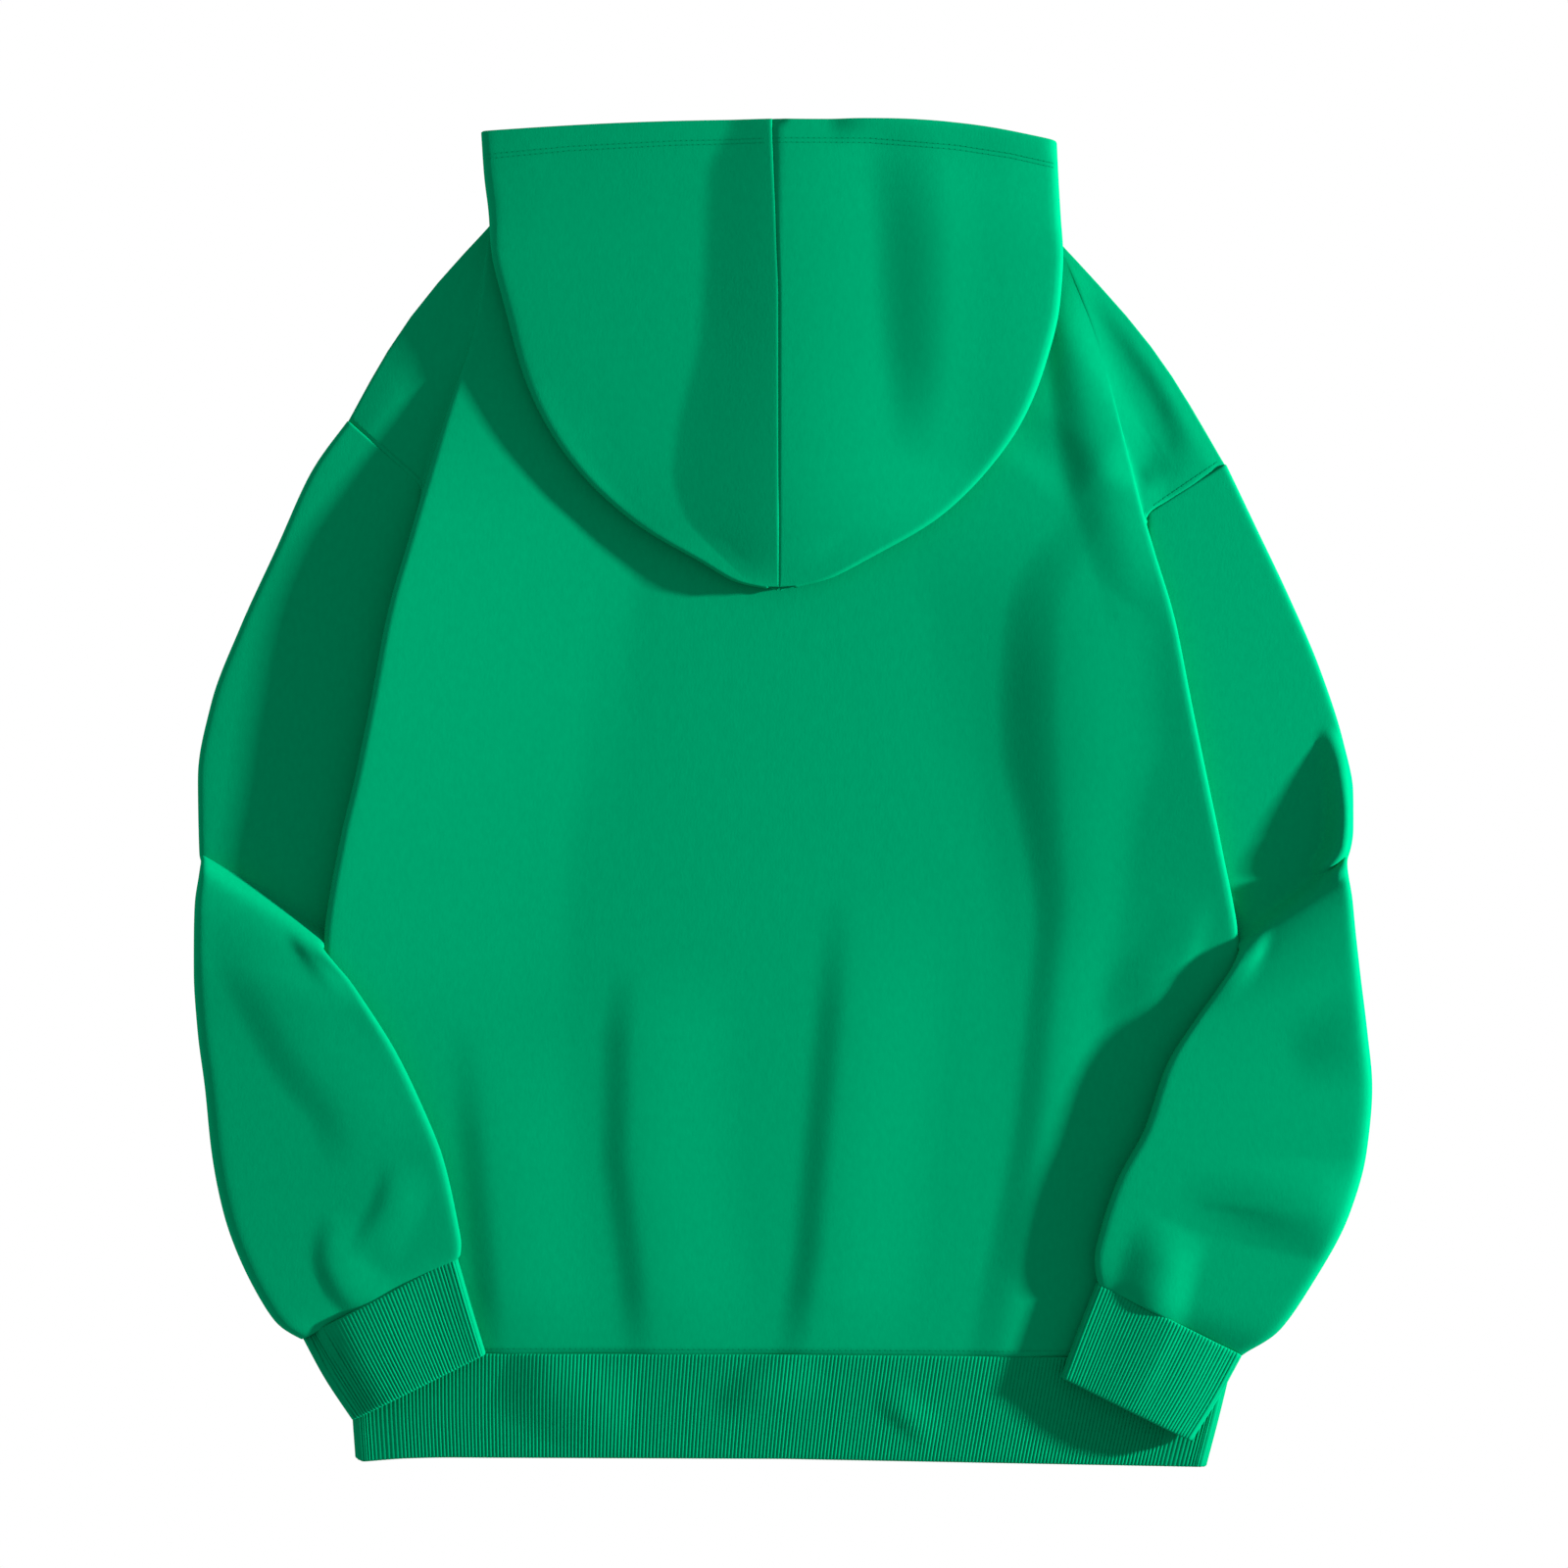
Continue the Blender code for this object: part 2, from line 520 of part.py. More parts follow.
def hood_half(name, table, neck, inner_x, arc):
    net = hood_net(table, neck, inner_x, arc)
    first_lower = len(HOOD_UPPER_SHARES) + 1
    holes = [(NECK_ROWS - 1, column) for column in range(first_lower + NECK_COLUMN, net.shape[1] - 1)]
    return wall_mesh(name, net, FLEECE, holes=holes)


def hem_band():
    hem = columns(HEM_COLUMNS, HEM)
    rows = []
    for k in range(len(HEM)):
        at = {column: values[k] for column, values in hem.items()}
        left, right = at["left_x"], at["right_x"]
        fold_z = (HEM_FRONT_Z + at["upper_z"]) / 2

        def y_at(x):
            """The row's height up the garment, from its left fold over its middle to its right fold."""
            return np.interp(x, (left, 0, right), (at["left_y"], at["middle_y"], at["right_y"]))

        row = [[x, y_at(x), HEM_FRONT_Z + placket_lift(x)] for x in np.linspace(-PLACKET_X, left + 4, 9)]
        row.append([left, at["left_y"], fold_z])
        row += [[x, y_at(x), at["upper_z"]] for x in np.linspace(left + 4, right - 4, 21)]
        row.append([right, at["right_y"], fold_z])
        row += [[x, y_at(x), HEM_FRONT_Z + placket_lift(x)] for x in np.linspace(right - 4, PLACKET_X, 9)]
        rows.append(row)
    return wall_mesh("hem_band", smooth(np.array(rows), 2), RIB)


def box_mesh(name, boxes):
    """Boxes given by their lowest and highest corners, joined into one body where they overlap."""
    mesh = bpy.data.meshes.new(name)
    builder = bmesh.new()
    for low, high in boxes:
        made = bmesh.ops.create_cube(builder, size=1.0)
        size = Vector(high) - Vector(low)
        centre = (Vector(high) + Vector(low)) / 2
        for vertex in made["verts"]:
            vertex.co = Vector(a * b + c for a, b, c in zip(vertex.co, size, centre)) * MM
    builder.to_mesh(mesh)
    builder.free()
    return mesh


def material(name, colour, roughness, metallic=0.0):
    made = bpy.data.materials.new(name)
    made.use_nodes = True
    shader = made.node_tree.nodes["Principled BSDF"]
    shader.inputs["Base Color"].default_value = (*colour, 1)
    shader.inputs["Roughness"].default_value = roughness
    shader.inputs["Metallic"].default_value = metallic
    return made


def add(mesh, finish):
    """The mesh as an object with this material."""
    mesh.materials.append(finish)
    made = bpy.data.objects.new(mesh.name, mesh)
    bpy.context.scene.collection.objects.link(made)
    return made


def join_boxes(name, boxes, finish):
    """One object of several overlapping boxes, joined by Boolean unions."""
    base = add(box_mesh(name, boxes[:1]), finish)
    for number, box in enumerate(boxes[1:]):
        helper = add(box_mesh(f"{name}_joined_{number}", [box]), finish)
        helper.hide_render = True
        helper.display_type = "WIRE"
        union = base.modifiers.new(f"join_{number}", "BOOLEAN")
        union.operation = "UNION"
        union.object = helper
    return base


def zip_pieces(tape, metal):
    half_chain = CHAIN_WIDTH / 2
    for name, side in (("zip_tape_left", -1), ("zip_tape_right", 1)):
        inner, outer = side * (half_chain + SEAM), side * (half_chain + SEAM + TAPE_WIDTH)
        low = (min(inner, outer), ZIP_BOTTOM, CHAIN_Z - TAPE_THICKNESS / 2)
        high = (max(inner, outer), ZIP_TOP, CHAIN_Z + TAPE_THICKNESS / 2)
        add(box_mesh(name, [(low, high)]), tape)
    chain_top = SLIDER_TOP - 4.0
    box_top = ZIP_BOTTOM + 13.0
    low_z, high_z = CHAIN_Z - CHAIN_THICKNESS / 2, CHAIN_Z + CHAIN_THICKNESS / 2
    chain = ((-half_chain, box_top + SEAM, low_z), (half_chain, chain_top, high_z))
    add(box_mesh("zip_chain", [chain]), metal)
    add(box_mesh("zip_bottom_box", [((-half_chain, ZIP_BOTTOM, low_z), (half_chain, box_top, high_z))]), metal)
    for name, side in (("zip_top_stop_left", -1), ("zip_top_stop_right", 1)):
        inner, outer = side * 1.0, side * half_chain
        low = (min(inner, outer), SLIDER_TOP + SEAM, low_z)
        high = (max(inner, outer), ZIP_TOP, high_z)
        add(box_mesh(name, [(low, high)]), metal)
    slider_bottom = SLIDER_TOP - SLIDER_LENGTH
    half = SLIDER_WIDTH / 2
    post_low = PIVOT_Y - BRIDGE_LENGTH / 2
    post_high = PIVOT_Y + BRIDGE_LENGTH / 2
    bridge_top = PLATE_LOW_Z + 0.3
    reach = BRIDGE_WIDTH / 2
    slider = (
        ((-half, slider_bottom, PLATE_LOW_Z), (half, SLIDER_TOP, PLATE_LOW_Z + PLATE)),
        ((-half, slider_bottom, PLATE_HIGH_Z), (half, SLIDER_TOP, PLATE_HIGH_Z + PLATE)),
        ((-1.4, chain_top + SEAM, PLATE_LOW_Z + 0.5), (1.4, SLIDER_TOP - 0.2, PLATE_HIGH_Z + 0.5)),
        ((-reach, post_low, BRIDGE_Z), (reach, post_high, BRIDGE_Z + BRIDGE_THICKNESS)),
        ((-reach + 0.1, post_low + 0.1, BRIDGE_Z + 0.1), (reach - 0.1, post_low + 1.3, bridge_top)),
        ((-reach + 0.1, post_high - 1.3, BRIDGE_Z + 0.1), (reach - 0.1, post_high - 0.1, bridge_top)),
    )
    join_boxes("zip_slider", slider, metal)
    low_z, high_z = PIVOT_Z - TAB_THICKNESS / 2, PIVOT_Z + TAB_THICKNESS / 2
    eye_half = TAB_EYE_WIDTH / 2
    half = TAB_WIDTH / 2
    eye_top = PIVOT_Y + 0.6
    eye_low = PIVOT_Y - 0.5
    eye_end = eye_low - TAB_EYE_LENGTH
    tab = (
        ((-half, PIVOT_Y - TAB_LENGTH, low_z), (half, eye_end, high_z)),
        ((-half, eye_end - 1, low_z + 0.05), (-eye_half, eye_top, high_z - 0.05)),
        ((eye_half, eye_end - 1, low_z + 0.05), (half, eye_top, high_z - 0.05)),
        ((-half + 0.1, eye_low, low_z + 0.1), (half - 0.1, eye_top - 0.1, high_z - 0.1)),
    )
    join_boxes("zip_pull", tab, metal)


def main():
    for old in list(bpy.data.objects):
        bpy.data.objects.remove(old)
    fleece = material("green_fleece", (0.0, 0.33, 0.13), 0.95)
    rib = material("green_rib", (0.0, 0.28, 0.11), 0.9)
    tape = material("green_tape", (0.0, 0.24, 0.1), 0.8)
    metal = material("zip_metal", (0.6, 0.6, 0.58), 0.35, 1.0)
    add(back_panel(), fleece)
    add(front_panel("front_panel_left", LEFT_SIDE, NECK_LEFT, -1), fleece)
    add(front_panel("front_panel_right", RIGHT_SIDE, NECK_RIGHT, 1), fleece)
    add(tube("sleeve_left", LEFT_SLEEVE, SLEEVE_LOFT, FLEECE, FOREARM_ROW), fleece)
    add(tube("sleeve_right", RIGHT_SLEEVE, SLEEVE_LOFT, FLEECE, FOREARM_ROW), fleece)
    add(tube("cuff_left", LEFT_CUFF, CUFF_LOFT, RIB), rib)
    add(tube("cuff_right", RIGHT_CUFF, CUFF_LOFT, RIB), rib)
    add(hood_half("hood_left", LEFT_HOOD, NECK_LEFT, -1.9 - SEAM, HOOD_ARC_LEFT), fleece)
    add(hood_half("hood_right", RIGHT_HOOD, NECK_RIGHT, -1.5 + SEAM, HOOD_ARC_RIGHT), fleece)
    add(hem_band(), rib)
    zip_pieces(tape, metal)


main()
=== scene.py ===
"""A zip-up fleece hoodie laid flat on its front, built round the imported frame.

Tables hold real millimetres in the frame's own axes: +X the wearer's right, +Y from the hem to the hood, +Z out of
the back. Every cloth piece is a net of control points, made fine, moved by the creases near it and thickened into a
thin wall.
"""

import itertools
import math

import bpy
import numpy as np
from mathutils.bvhtree import BVHTree
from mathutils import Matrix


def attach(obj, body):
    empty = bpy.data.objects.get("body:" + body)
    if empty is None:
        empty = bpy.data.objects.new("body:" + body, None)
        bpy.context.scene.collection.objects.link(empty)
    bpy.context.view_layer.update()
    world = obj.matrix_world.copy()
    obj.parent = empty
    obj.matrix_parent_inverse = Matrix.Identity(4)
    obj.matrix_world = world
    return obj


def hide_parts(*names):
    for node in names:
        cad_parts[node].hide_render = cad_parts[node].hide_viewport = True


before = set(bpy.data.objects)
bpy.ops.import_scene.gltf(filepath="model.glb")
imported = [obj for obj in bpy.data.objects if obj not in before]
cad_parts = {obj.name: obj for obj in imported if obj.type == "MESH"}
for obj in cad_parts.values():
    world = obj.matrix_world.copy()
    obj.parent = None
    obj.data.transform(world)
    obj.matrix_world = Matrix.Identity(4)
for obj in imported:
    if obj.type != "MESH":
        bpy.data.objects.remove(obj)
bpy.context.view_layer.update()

MM = 0.001

FLEECE = 2.0  # wall of the brushed fleece
RIB = 2.4  # wall of the 1x1 rib of hem and cuffs
FRONT_Z = 1.0  # middle of the front panels' wall, which lies on the surface
PLACKET_X = 5.5  # half the gap between the front edges, where the zip shows
PLACKET_RISE = 2.2  # the front edges lift over the zip
PLACKET_WIDTH = 26.0  # and are down again this far out
ROLL_WIDTH = 140.0  # the back rises over this width towards its rolled sides
ROLL_POWER = 1.3
CREST_INSET = 0.4  # from the outermost point of a rolled side in to its crest
CREST_FULL = 10.0  # a side that rises less than this has a smaller inset
CREST_LEAST = 0.4  # but no less than this share of it
FOOT_REACH = 3.0  # from that point back to where the side starts to rise, at most
ROLL_SHARES = (0, 0, 0.04, 0.6, 1)  # of the rise, at edge, shoulder, foot, roll and crest
NECK_BACK_DIP = 27.0  # the back neckline's depth below its ends
NECK_BACK_FULLNESS = 0.7  # power of its sine, and of the front neckline's
NECK_FRONT_FULLNESS = 1.1
BACK_SPANS = 22  # cells of the back's net between its crests
FRONT_SPANS = 9  # and of a front's net up to the zip
FRONT_TUCK = 0.04  # below the shoulder a front's second column is this share of the way in
SHOULDER_ROWS = 5  # the body sections that reach out to shoulder seam and armhole
SHOULDER_BULGE = 7.5  # the shoulder seam bulges this far out of a straight line
SHOULDER_BEND = (1, 0.8, 0.5, 0.2)  # how much these sections follow that bulge
NECK_BEND = (1, 0.7, 0.4, 0.2, 0.08)  # how much these sections of the front follow the neckline's curve
HEM_SEAM_Y = -320.0

# One row for each section of the body, from the neck down to the hem seam. The roll is the outline of the raised
# body, the edge is where the panel ends: at the shoulder and armhole first, then at the side seam under the roll.
SIDE_COLUMNS = ("roll_x", "roll_y", "crest_z", "edge_x", "edge_y")
LEFT_SIDE = (
    (-166.5, 323.5, 3.6, -247.5, 211.5),
    (-170, 290, 6.5, -236, 201),
    (-176, 258, 8.5, -226, 192),
    (-188, 222, 11.5, -214, 181),
    (-203, 172, 17.0, -206, 173),
    (-211, 144, 19.5, -202, 143),
    (-223, 102, 20.5, -214, 102),
    (-233, 50, 20.5, -224, 50),
    (-242, 7, 20.0, -232, 7),
    (-251, -31, 19.5, -241, -31),
    (-260, -93, 18.0, -249, -93),
    (-259, -150, 13.5, -250, -150),
    (-255, -220, 11.0, -248, -220),
    (-250, -287, 9.0, -244, -287),
    (-245, -320, 7.6, -240, -320),
)
RIGHT_SIDE = (
    (157, 315.0, 3.8, 253, 186),
    (167, 290, 4.6, 244, 181),
    (178, 262, 5.2, 234, 174),
    (190, 218, 6.0, 222, 167),
    (205, 158, 8.0, 208, 157),
    (212, 134, 11.0, 203, 133),
    (222, 100, 15.0, 213, 100),
    (232, 50, 17.0, 223, 50),
    (241, 7, 17.0, 231, 7),
    (249, -31, 16.5, 239, -31),
    (260, -93, 13.5, 249, -93),
    (262, -150, 11.5, 253, -150),
    (262, -220, 11.0, 255, -220),
    (260, -287, 9.0, 254, -287),
    (256, -323, 7.6, 251, -323),
)
# For the same sections: how much of the neckline's dip is left, how far up the front panels reach at the zip, and the
# height of the edges on both sides.
MIDDLE_COLUMNS = ("dip", "front_y", "edge_z")
MIDDLE = (
    (1.0, 259, 3.4), (0.62, 238, 5.0), (0.32, 214, 5.4), (0.1, 186, 5.6), (0, 158, 6.2),
    (0, 134, 8.6), (0, 100, 8.6), (0, 50, 8.6), (0, 7, 6.6), (0, -31, 4.4),
    (0, -93, 3.4), (0, -150, 3.4), (0, -220, 3.4), (0, -287, 3.4), (0, -321, 3.4),
)
# Height of the back along its middle.
SPINE_COLUMNS = ("y", "z")
SPINE = ((-330, 8.2), (-150, 7.6), (170, 7.6), (222, 8.2), (258, 9.4), (322, 8.6))
# Folds of the back, each a route from its faded top to the hem seam. The left side of a fold is its steep one.
FOLD_COLUMNS = ("x", "y", "height")
BACK_FOLDS = (
    ((-92, -95, 0), (-96, -140, 1.9), (-97, -208, 2.2), (-88, -276, 2.0), (-83, -330, 1.8)),
    ((30, -55, 0), (25, -124, 1.9), (18, -197, 2.3), (12, -264, 2.3), (1, -330, 1.9)),
    ((-184, -130, 0), (-179, -197, 1.8), (-171, -287, 2.2), (-167, -330, 1.9)),
)
FOLD_RISE = 20.0  # width of a fold's steep left side
FOLD_FALL = 62.0  # width of its gentle right side
FOLD_SHIFT = 12.0  # from the route to the fold's top
SEAM_FADE = (-322.0, 0.35, -285.0)  # at the hem seam this share of a fold is left, and all of it from here up
COVER_REACH = 9.0  # what lies over a rolled side keeps its full height this far out
COVER_FADE = 16.0  # and comes down to the surface over this width
LYING_GAP = 1.5  # clear height between the back and what lies on it
HEM_COVER = 12.0  # the back's seam counts as high as the hem band from this far below it up

# Sleeves: outer and inner edge of the flattened tube at each section, the middle height there, and the share of the
# width over which the tube climbs from the outer height to the inner one. The step to the forearm is in rows 6 to 10.
SLEEVE_COLUMNS = ("outer_x", "outer_y", "outer_z", "inner_x", "inner_y", "inner_z", "climb")
LEFT_SLEEVE = (
    (-247.0, 211.4, 3.3, -204.6, 174.0, 3.3, 1),
    (-267, 183.6, 3.3, -203.5, 138, 3.3, 1),
    (-288, 138, 3.3, -215.5, 98, 3.3, 1),
    (-308.5, 93.3, 3.3, -225, 53, 3.3, 1),
    (-325, 50, 3.3, -232.5, 13, 3.3, 1),
    (-332.5, 8, 3.3, -241, -24, 3.3, 1),
    (-331.5, -36.5, 3.3, -256, -81, 3.3, 1),
    (-330.5, -38.5, 7.0, -257.5, -85, 8.0, 1),
    (-330, -41, 5.0, -259, -88.5, 10.0, 0.9),
    (-331, -49, 5.2, -261, -89.5, 13.0, 0.9),
    (-333, -62, 5.6, -256, -95, 16.5, 0.85),
    (-333.5, -82, 5.6, -246, -106, 17.0, 0.8),
    (-333.5, -104, 5.6, -234, -123, 17.0, 0.72),
    (-331.5, -136, 5.6, -219, -147, 17.0, 0.6),
    (-327.5, -168, 5.6, -204, -178, 16.6, 0.52),
    (-324, -204, 5.6, -192, -208, 16.0, 0.5),
    (-317, -240, 5.8, -185, -238, 16.8, 0.5),
    (-303, -276, 6.2, -182, -256, 16.4, 0.5),
    (-285, -304, 6.6, -183, -263, 16.0, 0.5),
    (-273, -311, 6.8, -186, -264.5, 15.6, 0.5),
)
RIGHT_SLEEVE = (
    (252.4, 186.8, 3.3, 207.0, 158.0, 3.3, 1),
    (269, 152, 3.3, 206, 124, 3.3, 1),
    (288, 112, 3.3, 216.8, 88, 3.3, 1),
    (306, 70, 3.3, 225, 48, 3.3, 1),
    (319, 30, 3.3, 232.5, 8, 3.3, 1),
    (325, 0, 3.3, 240, -28, 3.3, 1),
    (325, -22, 3.3, 250, -64, 3.3, 1),
    (323, -34, 3.8, 255.5, -84, 5.0, 1),
    (321, -40, 5.0, 258.5, -90, 10.0, 0.9),
    (321, -46, 6.2, 261, -89, 14.5, 0.9),
    (323, -58, 6.2, 256, -99, 17.5, 0.85),
    (325, -78, 6.0, 246, -114, 16.5, 0.8),
    (328, -104, 5.6, 232, -133, 16.8, 0.72),
    (332, -136, 5.6, 218, -155, 16.8, 0.6),
    (335, -168, 5.6, 205, -192, 16.8, 0.52),
    (332, -204, 5.6, 190, -220, 16.8, 0.5),
    (322, -240, 5.8, 181, -246, 16.8, 0.5),
    (303, -276, 6.2, 177, -264, 16.6, 0.5),
    (279, -308, 6.6, 178, -273, 16.2, 0.5),
    (260, -320, 6.8, 180, -279.5, 16.0, 0.5),
)
TUBE_SHARES = (0, 0.01, 0.03, 0.07, 0.14, 0.24, 0.36, 0.48, 0.6, 0.72, 0.84, 0.93, 0.985, 1.0)
FOREARM_ROW = 10  # from this section on a sleeve lies on the body
SLEEVE_LOFT = 2.3  # from the middle of the flattened sleeve to the middle of each wall
LEFT_CUFF = (
    (-272.2, -309.8, 8.4, -186.0, -263.8, 14.0, 0.5),
    (-258.2, -333.2, 9.2, -178, -292, 13.0, 0.45),
    (-242.8, -356.4, 10.2, -169.5, -320, 12.4, 0.4),
)
RIGHT_CUFF = (
    (260.2, -319.2, 8.0, 180.0, -278.7, 15.4, 0.5),
    (246, -345, 9.0, 169, -307, 15.0, 0.45),
    (231.5, -368, 10.0, 159.5, -333, 14.6, 0.4),
)
CUFF_LOFT = 2.6
TUBE_SQUARENESS = 80  # how tightly the flattened tube turns at its edges

# Hood: for each section, from the opening down to the tip, the centre seam and the heights of the upper wall there and
# near the folded side, which both halves share. Then the seam's edge and the folded side of each half.
HOOD_SEAM_COLUMNS = ("seam_y", "seam_z", "shoulder_z")
HOOD_SEAM = (
    (382.4, 12.0, 8.0), (356, 15.0, 12.0), (336, 17.5, 15.0), (310, 19.2, 17.5), (280, 20.0, 18.5), (246, 20.2, 19.0),
    (214, 20.2, 19.0), (186, 20.0, 18.4), (160, 19.4, 17.6), (140, 18.0, 16.4), (125, 16.4, 15.2), (116.2, 15.4, 14.8),
)
HOOD_COLUMNS = ("seam_x", "side_x", "side_y")
LEFT_HOOD = (
    (-5.65, -171, 376.4), (-4.65, -169, 350), (-3.65, -166.5, 331), (-2.65, -164.5, 307), (-1.65, -156, 272),
    (-1.65, -146, 236), (-1.65, -130, 203), (-1.65, -110, 177), (-1.65, -80, 151), (-1.65, -48, 132.5),
    (-1.65, -24, 119.3), (-1.65, -8, 116.4),
)
RIGHT_HOOD = (
    (-5.75, 156, 370.4), (-4.75, 157, 346), (-3.75, 158, 327), (-2.75, 159, 305), (-1.75, 157, 276),
    (-1.75, 149, 243), (-1.75, 137, 213), (-1.75, 117, 184), (-1.75, 88, 156), (-1.75, 54, 136), (-1.75, 24, 121.0),
    (-1.75, 7, 116.9),
)
HOOD_UPPER_SHARES = (0, 0.14, 0.28, 0.42, 0.56, 0.7, 0.82, 0.92, 0.97, 0.9965)
HOOD_LOWER_SHARES = (0.025, 0.09, 0.16, 0.32, 0.5, 0.7, 1.0)
HOOD_ARC_LEFT = (1.4, 1.0)  # height of the arc of the opening's edge, and how far it leans to the side
HOOD_ARC_RIGHT = (5.4, 1.25)
ARC_BEND = (1, 0.9, 0.7, 0.4, 0.15)  # how much these sections of the hood follow that arc
NECK_ROWS = 3  # this many rows of the hood lie beyond the neck seam, and their lower walls reach down to the zip
HOOD_CLEARANCE = 0.6  # more than LYING_GAP, over the back's folds
HOOD_LOFT = 5.2  # from the hood's lower wall to its upper one, at least
HOOD_INNER_LEFT = -2.25  # x of the lower wall's inner end
HOOD_INNER_RIGHT = -1.15
HOOD_TURN_SHARE = 0.8  # beyond this share of its width the upper wall turns down
HOOD_TURN_WIDTH = 140.0  # at least as tightly as on a section of this width
HOOD_RIM_SHARE = 0.98  # beyond this share of its width it is lowered
HOOD_RIM_DROP = 0.05  # by this share of its height over the lower wall
HOOD_END_DROP = 2.0  # the lower wall's inner end is this far below the seam's point
CHIN_WIDTH = 5.0  # how far the chin pieces' ends reach up from the front panels
CHIN_GAP = 2.8  # between the middles of two walls that meet at the neckline
NECK_LEFT = (-142, 320.5)  # where shoulder seam and neckline meet
NECK_RIGHT = (138, 315.5)

# Hem band: its left and right fold and the height of its upper wall, at its seam and at its free edge.
HEM_COLUMNS = ("left_x", "left_y", "middle_y", "right_x", "right_y", "upper_z")
HEM = (
    (-245, -319.6, -320.4, 256, -322.6, 8.0),
    (-244, -350, -350, 248.5, -354, 7.8),
    (-242, -379, -380, 240.5, -384.6, 7.6),
)
HEM_FRONT_Z = 1.2
HEM_TURN = 4.0  # its layers stop this far short of a fold
HEM_FRONT_POINTS = 9  # in a section's layer to each side of the zip
HEM_BACK_POINTS = 21
HEM_PARTED = 2.2  # its front layers are lower than this and its back one is higher

EDGE_STEPS = (0.12, 0.4, 1.0)  # rows this far from a rounded edge, in mm
EDGE_CLEAR = 1.4  # and the next one more than this many times as far as the last of them
EDGE_THINNING = 0.96  # leaves a fifth of the wall at its edge
BODY_STEP = 3.2  # spacing of the fine rows and columns
FRONT_STEP = 6.0
SLEEVE_STEP = 2.2
CUFF_STEP = 3.0
HOOD_STEP = 2.6
HEM_STEP = 5.0

CREASE_STEPS = 6  # straight stretches between two points of a crease's route
# Folds and creases: see creases_at.
BACK_CREASES = (
    # the fold down the right of the back
    ((33, 0.5), (62, 0), (186, 165, 0, 0.7), (176, 138, 1.4, 0.7), (164, 122, 1.8, 0.8), (157, 95, 2.5, 0.95),
     (156, 53, 3.3), (157, 24, 3.3), (159, -17, 2.4, 0.75), (162, -62, 1.8, 0.6), (157, -106, 1.6, 0.5),
     (148, -190, 1.7, 0.5), (138, -248, 1.7, 0.55), (126, -318, 1.2, 0.6)),
    # dark side of the right ridge
    ((26, 0.1), (32, 0), (160, 300, 0.4, 0.6), (164, 270, 2.2, 0.65), (172, 230, 2.9, 0.8), (185, 180, 2.8),
     (198, 140, 2), (212, 90, 0)),
    # soft trough below the hood's right side
    ((18, 0), (22, 0), (120, 208, 0), (140, 200, -1.1), (158, 186, -1.2), (172, 172, 0)),
    # trough across the right shoulder and its hook
    ((22, 0), (13, 0), (166, 296, 0), (181, 268, -1.3), (198, 241, -1.7), (214, 212, -1.9), (217, 198, -1.3),
     (203, 184, -2.2), (197, 172, 0)),
    # lifted by the right forearm's fold
    ((30, 0), (10, 0), (238, -58, 0), (230, -90, 1), (216, -112, 1.6), (196, -138, 0)),
    # down into the hem's seam
    ((4.5, 0), (4.5, 0), (-246, -321, 0), (-238, -321.5, -2.4), (-178, -322, -2.6), (-150, -322.2, -1.8),
     (-106, -322, -2.9), (-60, -322.3, -1.8), (0, -322.5, -3), (90, -323, -2), (180, -323.6, -2.8),
     (248, -324, -2.2), (256, -324, 0)),
)
HOOD_LEFT_CREASES = (
    # raised along the centre seam, with a steep flank
    ((42, 0.9), (8, 0), (-1, 376, 4, 0.7), (-1, 350, 5.5, 0.98), (-1, 300, 5.5, 1.03), (-1, 262, 5.5, 1.08),
     (-1, 207, 6.6, 1.38), (-1, 181, 6.4, 1.45), (-1, 156, 5.2, 1.28), (-1, 138, 3.4, 0.9), (-1, 118, 0, 0.4)),
)
HOOD_RIGHT_CREASES = (
    # raised along the centre seam, with a gentle flank
    ((10, 0), (120, 0), (-1, 376, 4), (-1, 350, 5.5), (-1, 300, 5.5), (-1, 262, 5.5), (-1, 207, 6.6),
     (-1, 181, 6.4), (-1, 140, 3.4), (-1, 118, 0)),
    # the broad ridge down this half
    ((46, 0), (175, 0), (90, 378, 1.6), (94, 345, 4.6), (97, 300, 5.4), (96, 250, 4.6, 0.9), (86, 185, 0, 0.6)),
    # along the opening
    ((14, 0.6), (4, 0), (28, 381, 0), (50, 381, 3), (110, 377, 3.6), (150, 372, 2.6), (158, 370, 0)),
)
# The puffed middles of the cuffs.
CUFF_LEFT_CREASES = (((26, 0), (62, 0.2), (-248, -288, 2.4), (-235, -320, 2.8), (-216, -356, 2.6)),)
CUFF_RIGHT_CREASES = (((62, 0.2), (30, 0), (243, -290, 3.4), (228, -330, 3.6), (208, -372, 3.4)),)
SLEEVE_LEFT_CREASES = (
    # the long soft dent down the forearm
    ((24, 0), (46, 0), (-310, -70, 0), (-292, -108, 1.4), (-272, -145, 1.9), (-246, -180, 1.5), (-236, -214, 0)),
    # dents above the cuff
    ((11, 0), (22, 0), (-216, -208, 0), (-222, -232, 1.3), (-232, -252, 0.9), (-238, -266, 0)),
    ((11, 0.2), (26, 0), (-252, -238, 0), (-256, -262, 1.6), (-249, -281, 1.9), (-234, -294, 1.7), (-214, -300, 0)),
)
SLEEVE_RIGHT_CREASES = (
    # the bulge of the folded elbow
    ((11, 0.3), (9, 0), (310, 37, 0, 0.6), (317, 15, 6), (319.5, -12, 11), (318, -30, 13), (312, -43, 12)),
    # dents of the forearm
    ((46, 0), (12, 0), (322, -112, 0), (330, -138, 2.4), (334, -166, 0)),
    ((78, 0), (40, 0), (302, -208, 0), (302, -236, 4.2), (296, -264, 0)),
    ((26, 0), (22, 0), (226, -246, 0), (216, -268, 3.2), (211, -290, 3.6)),
)
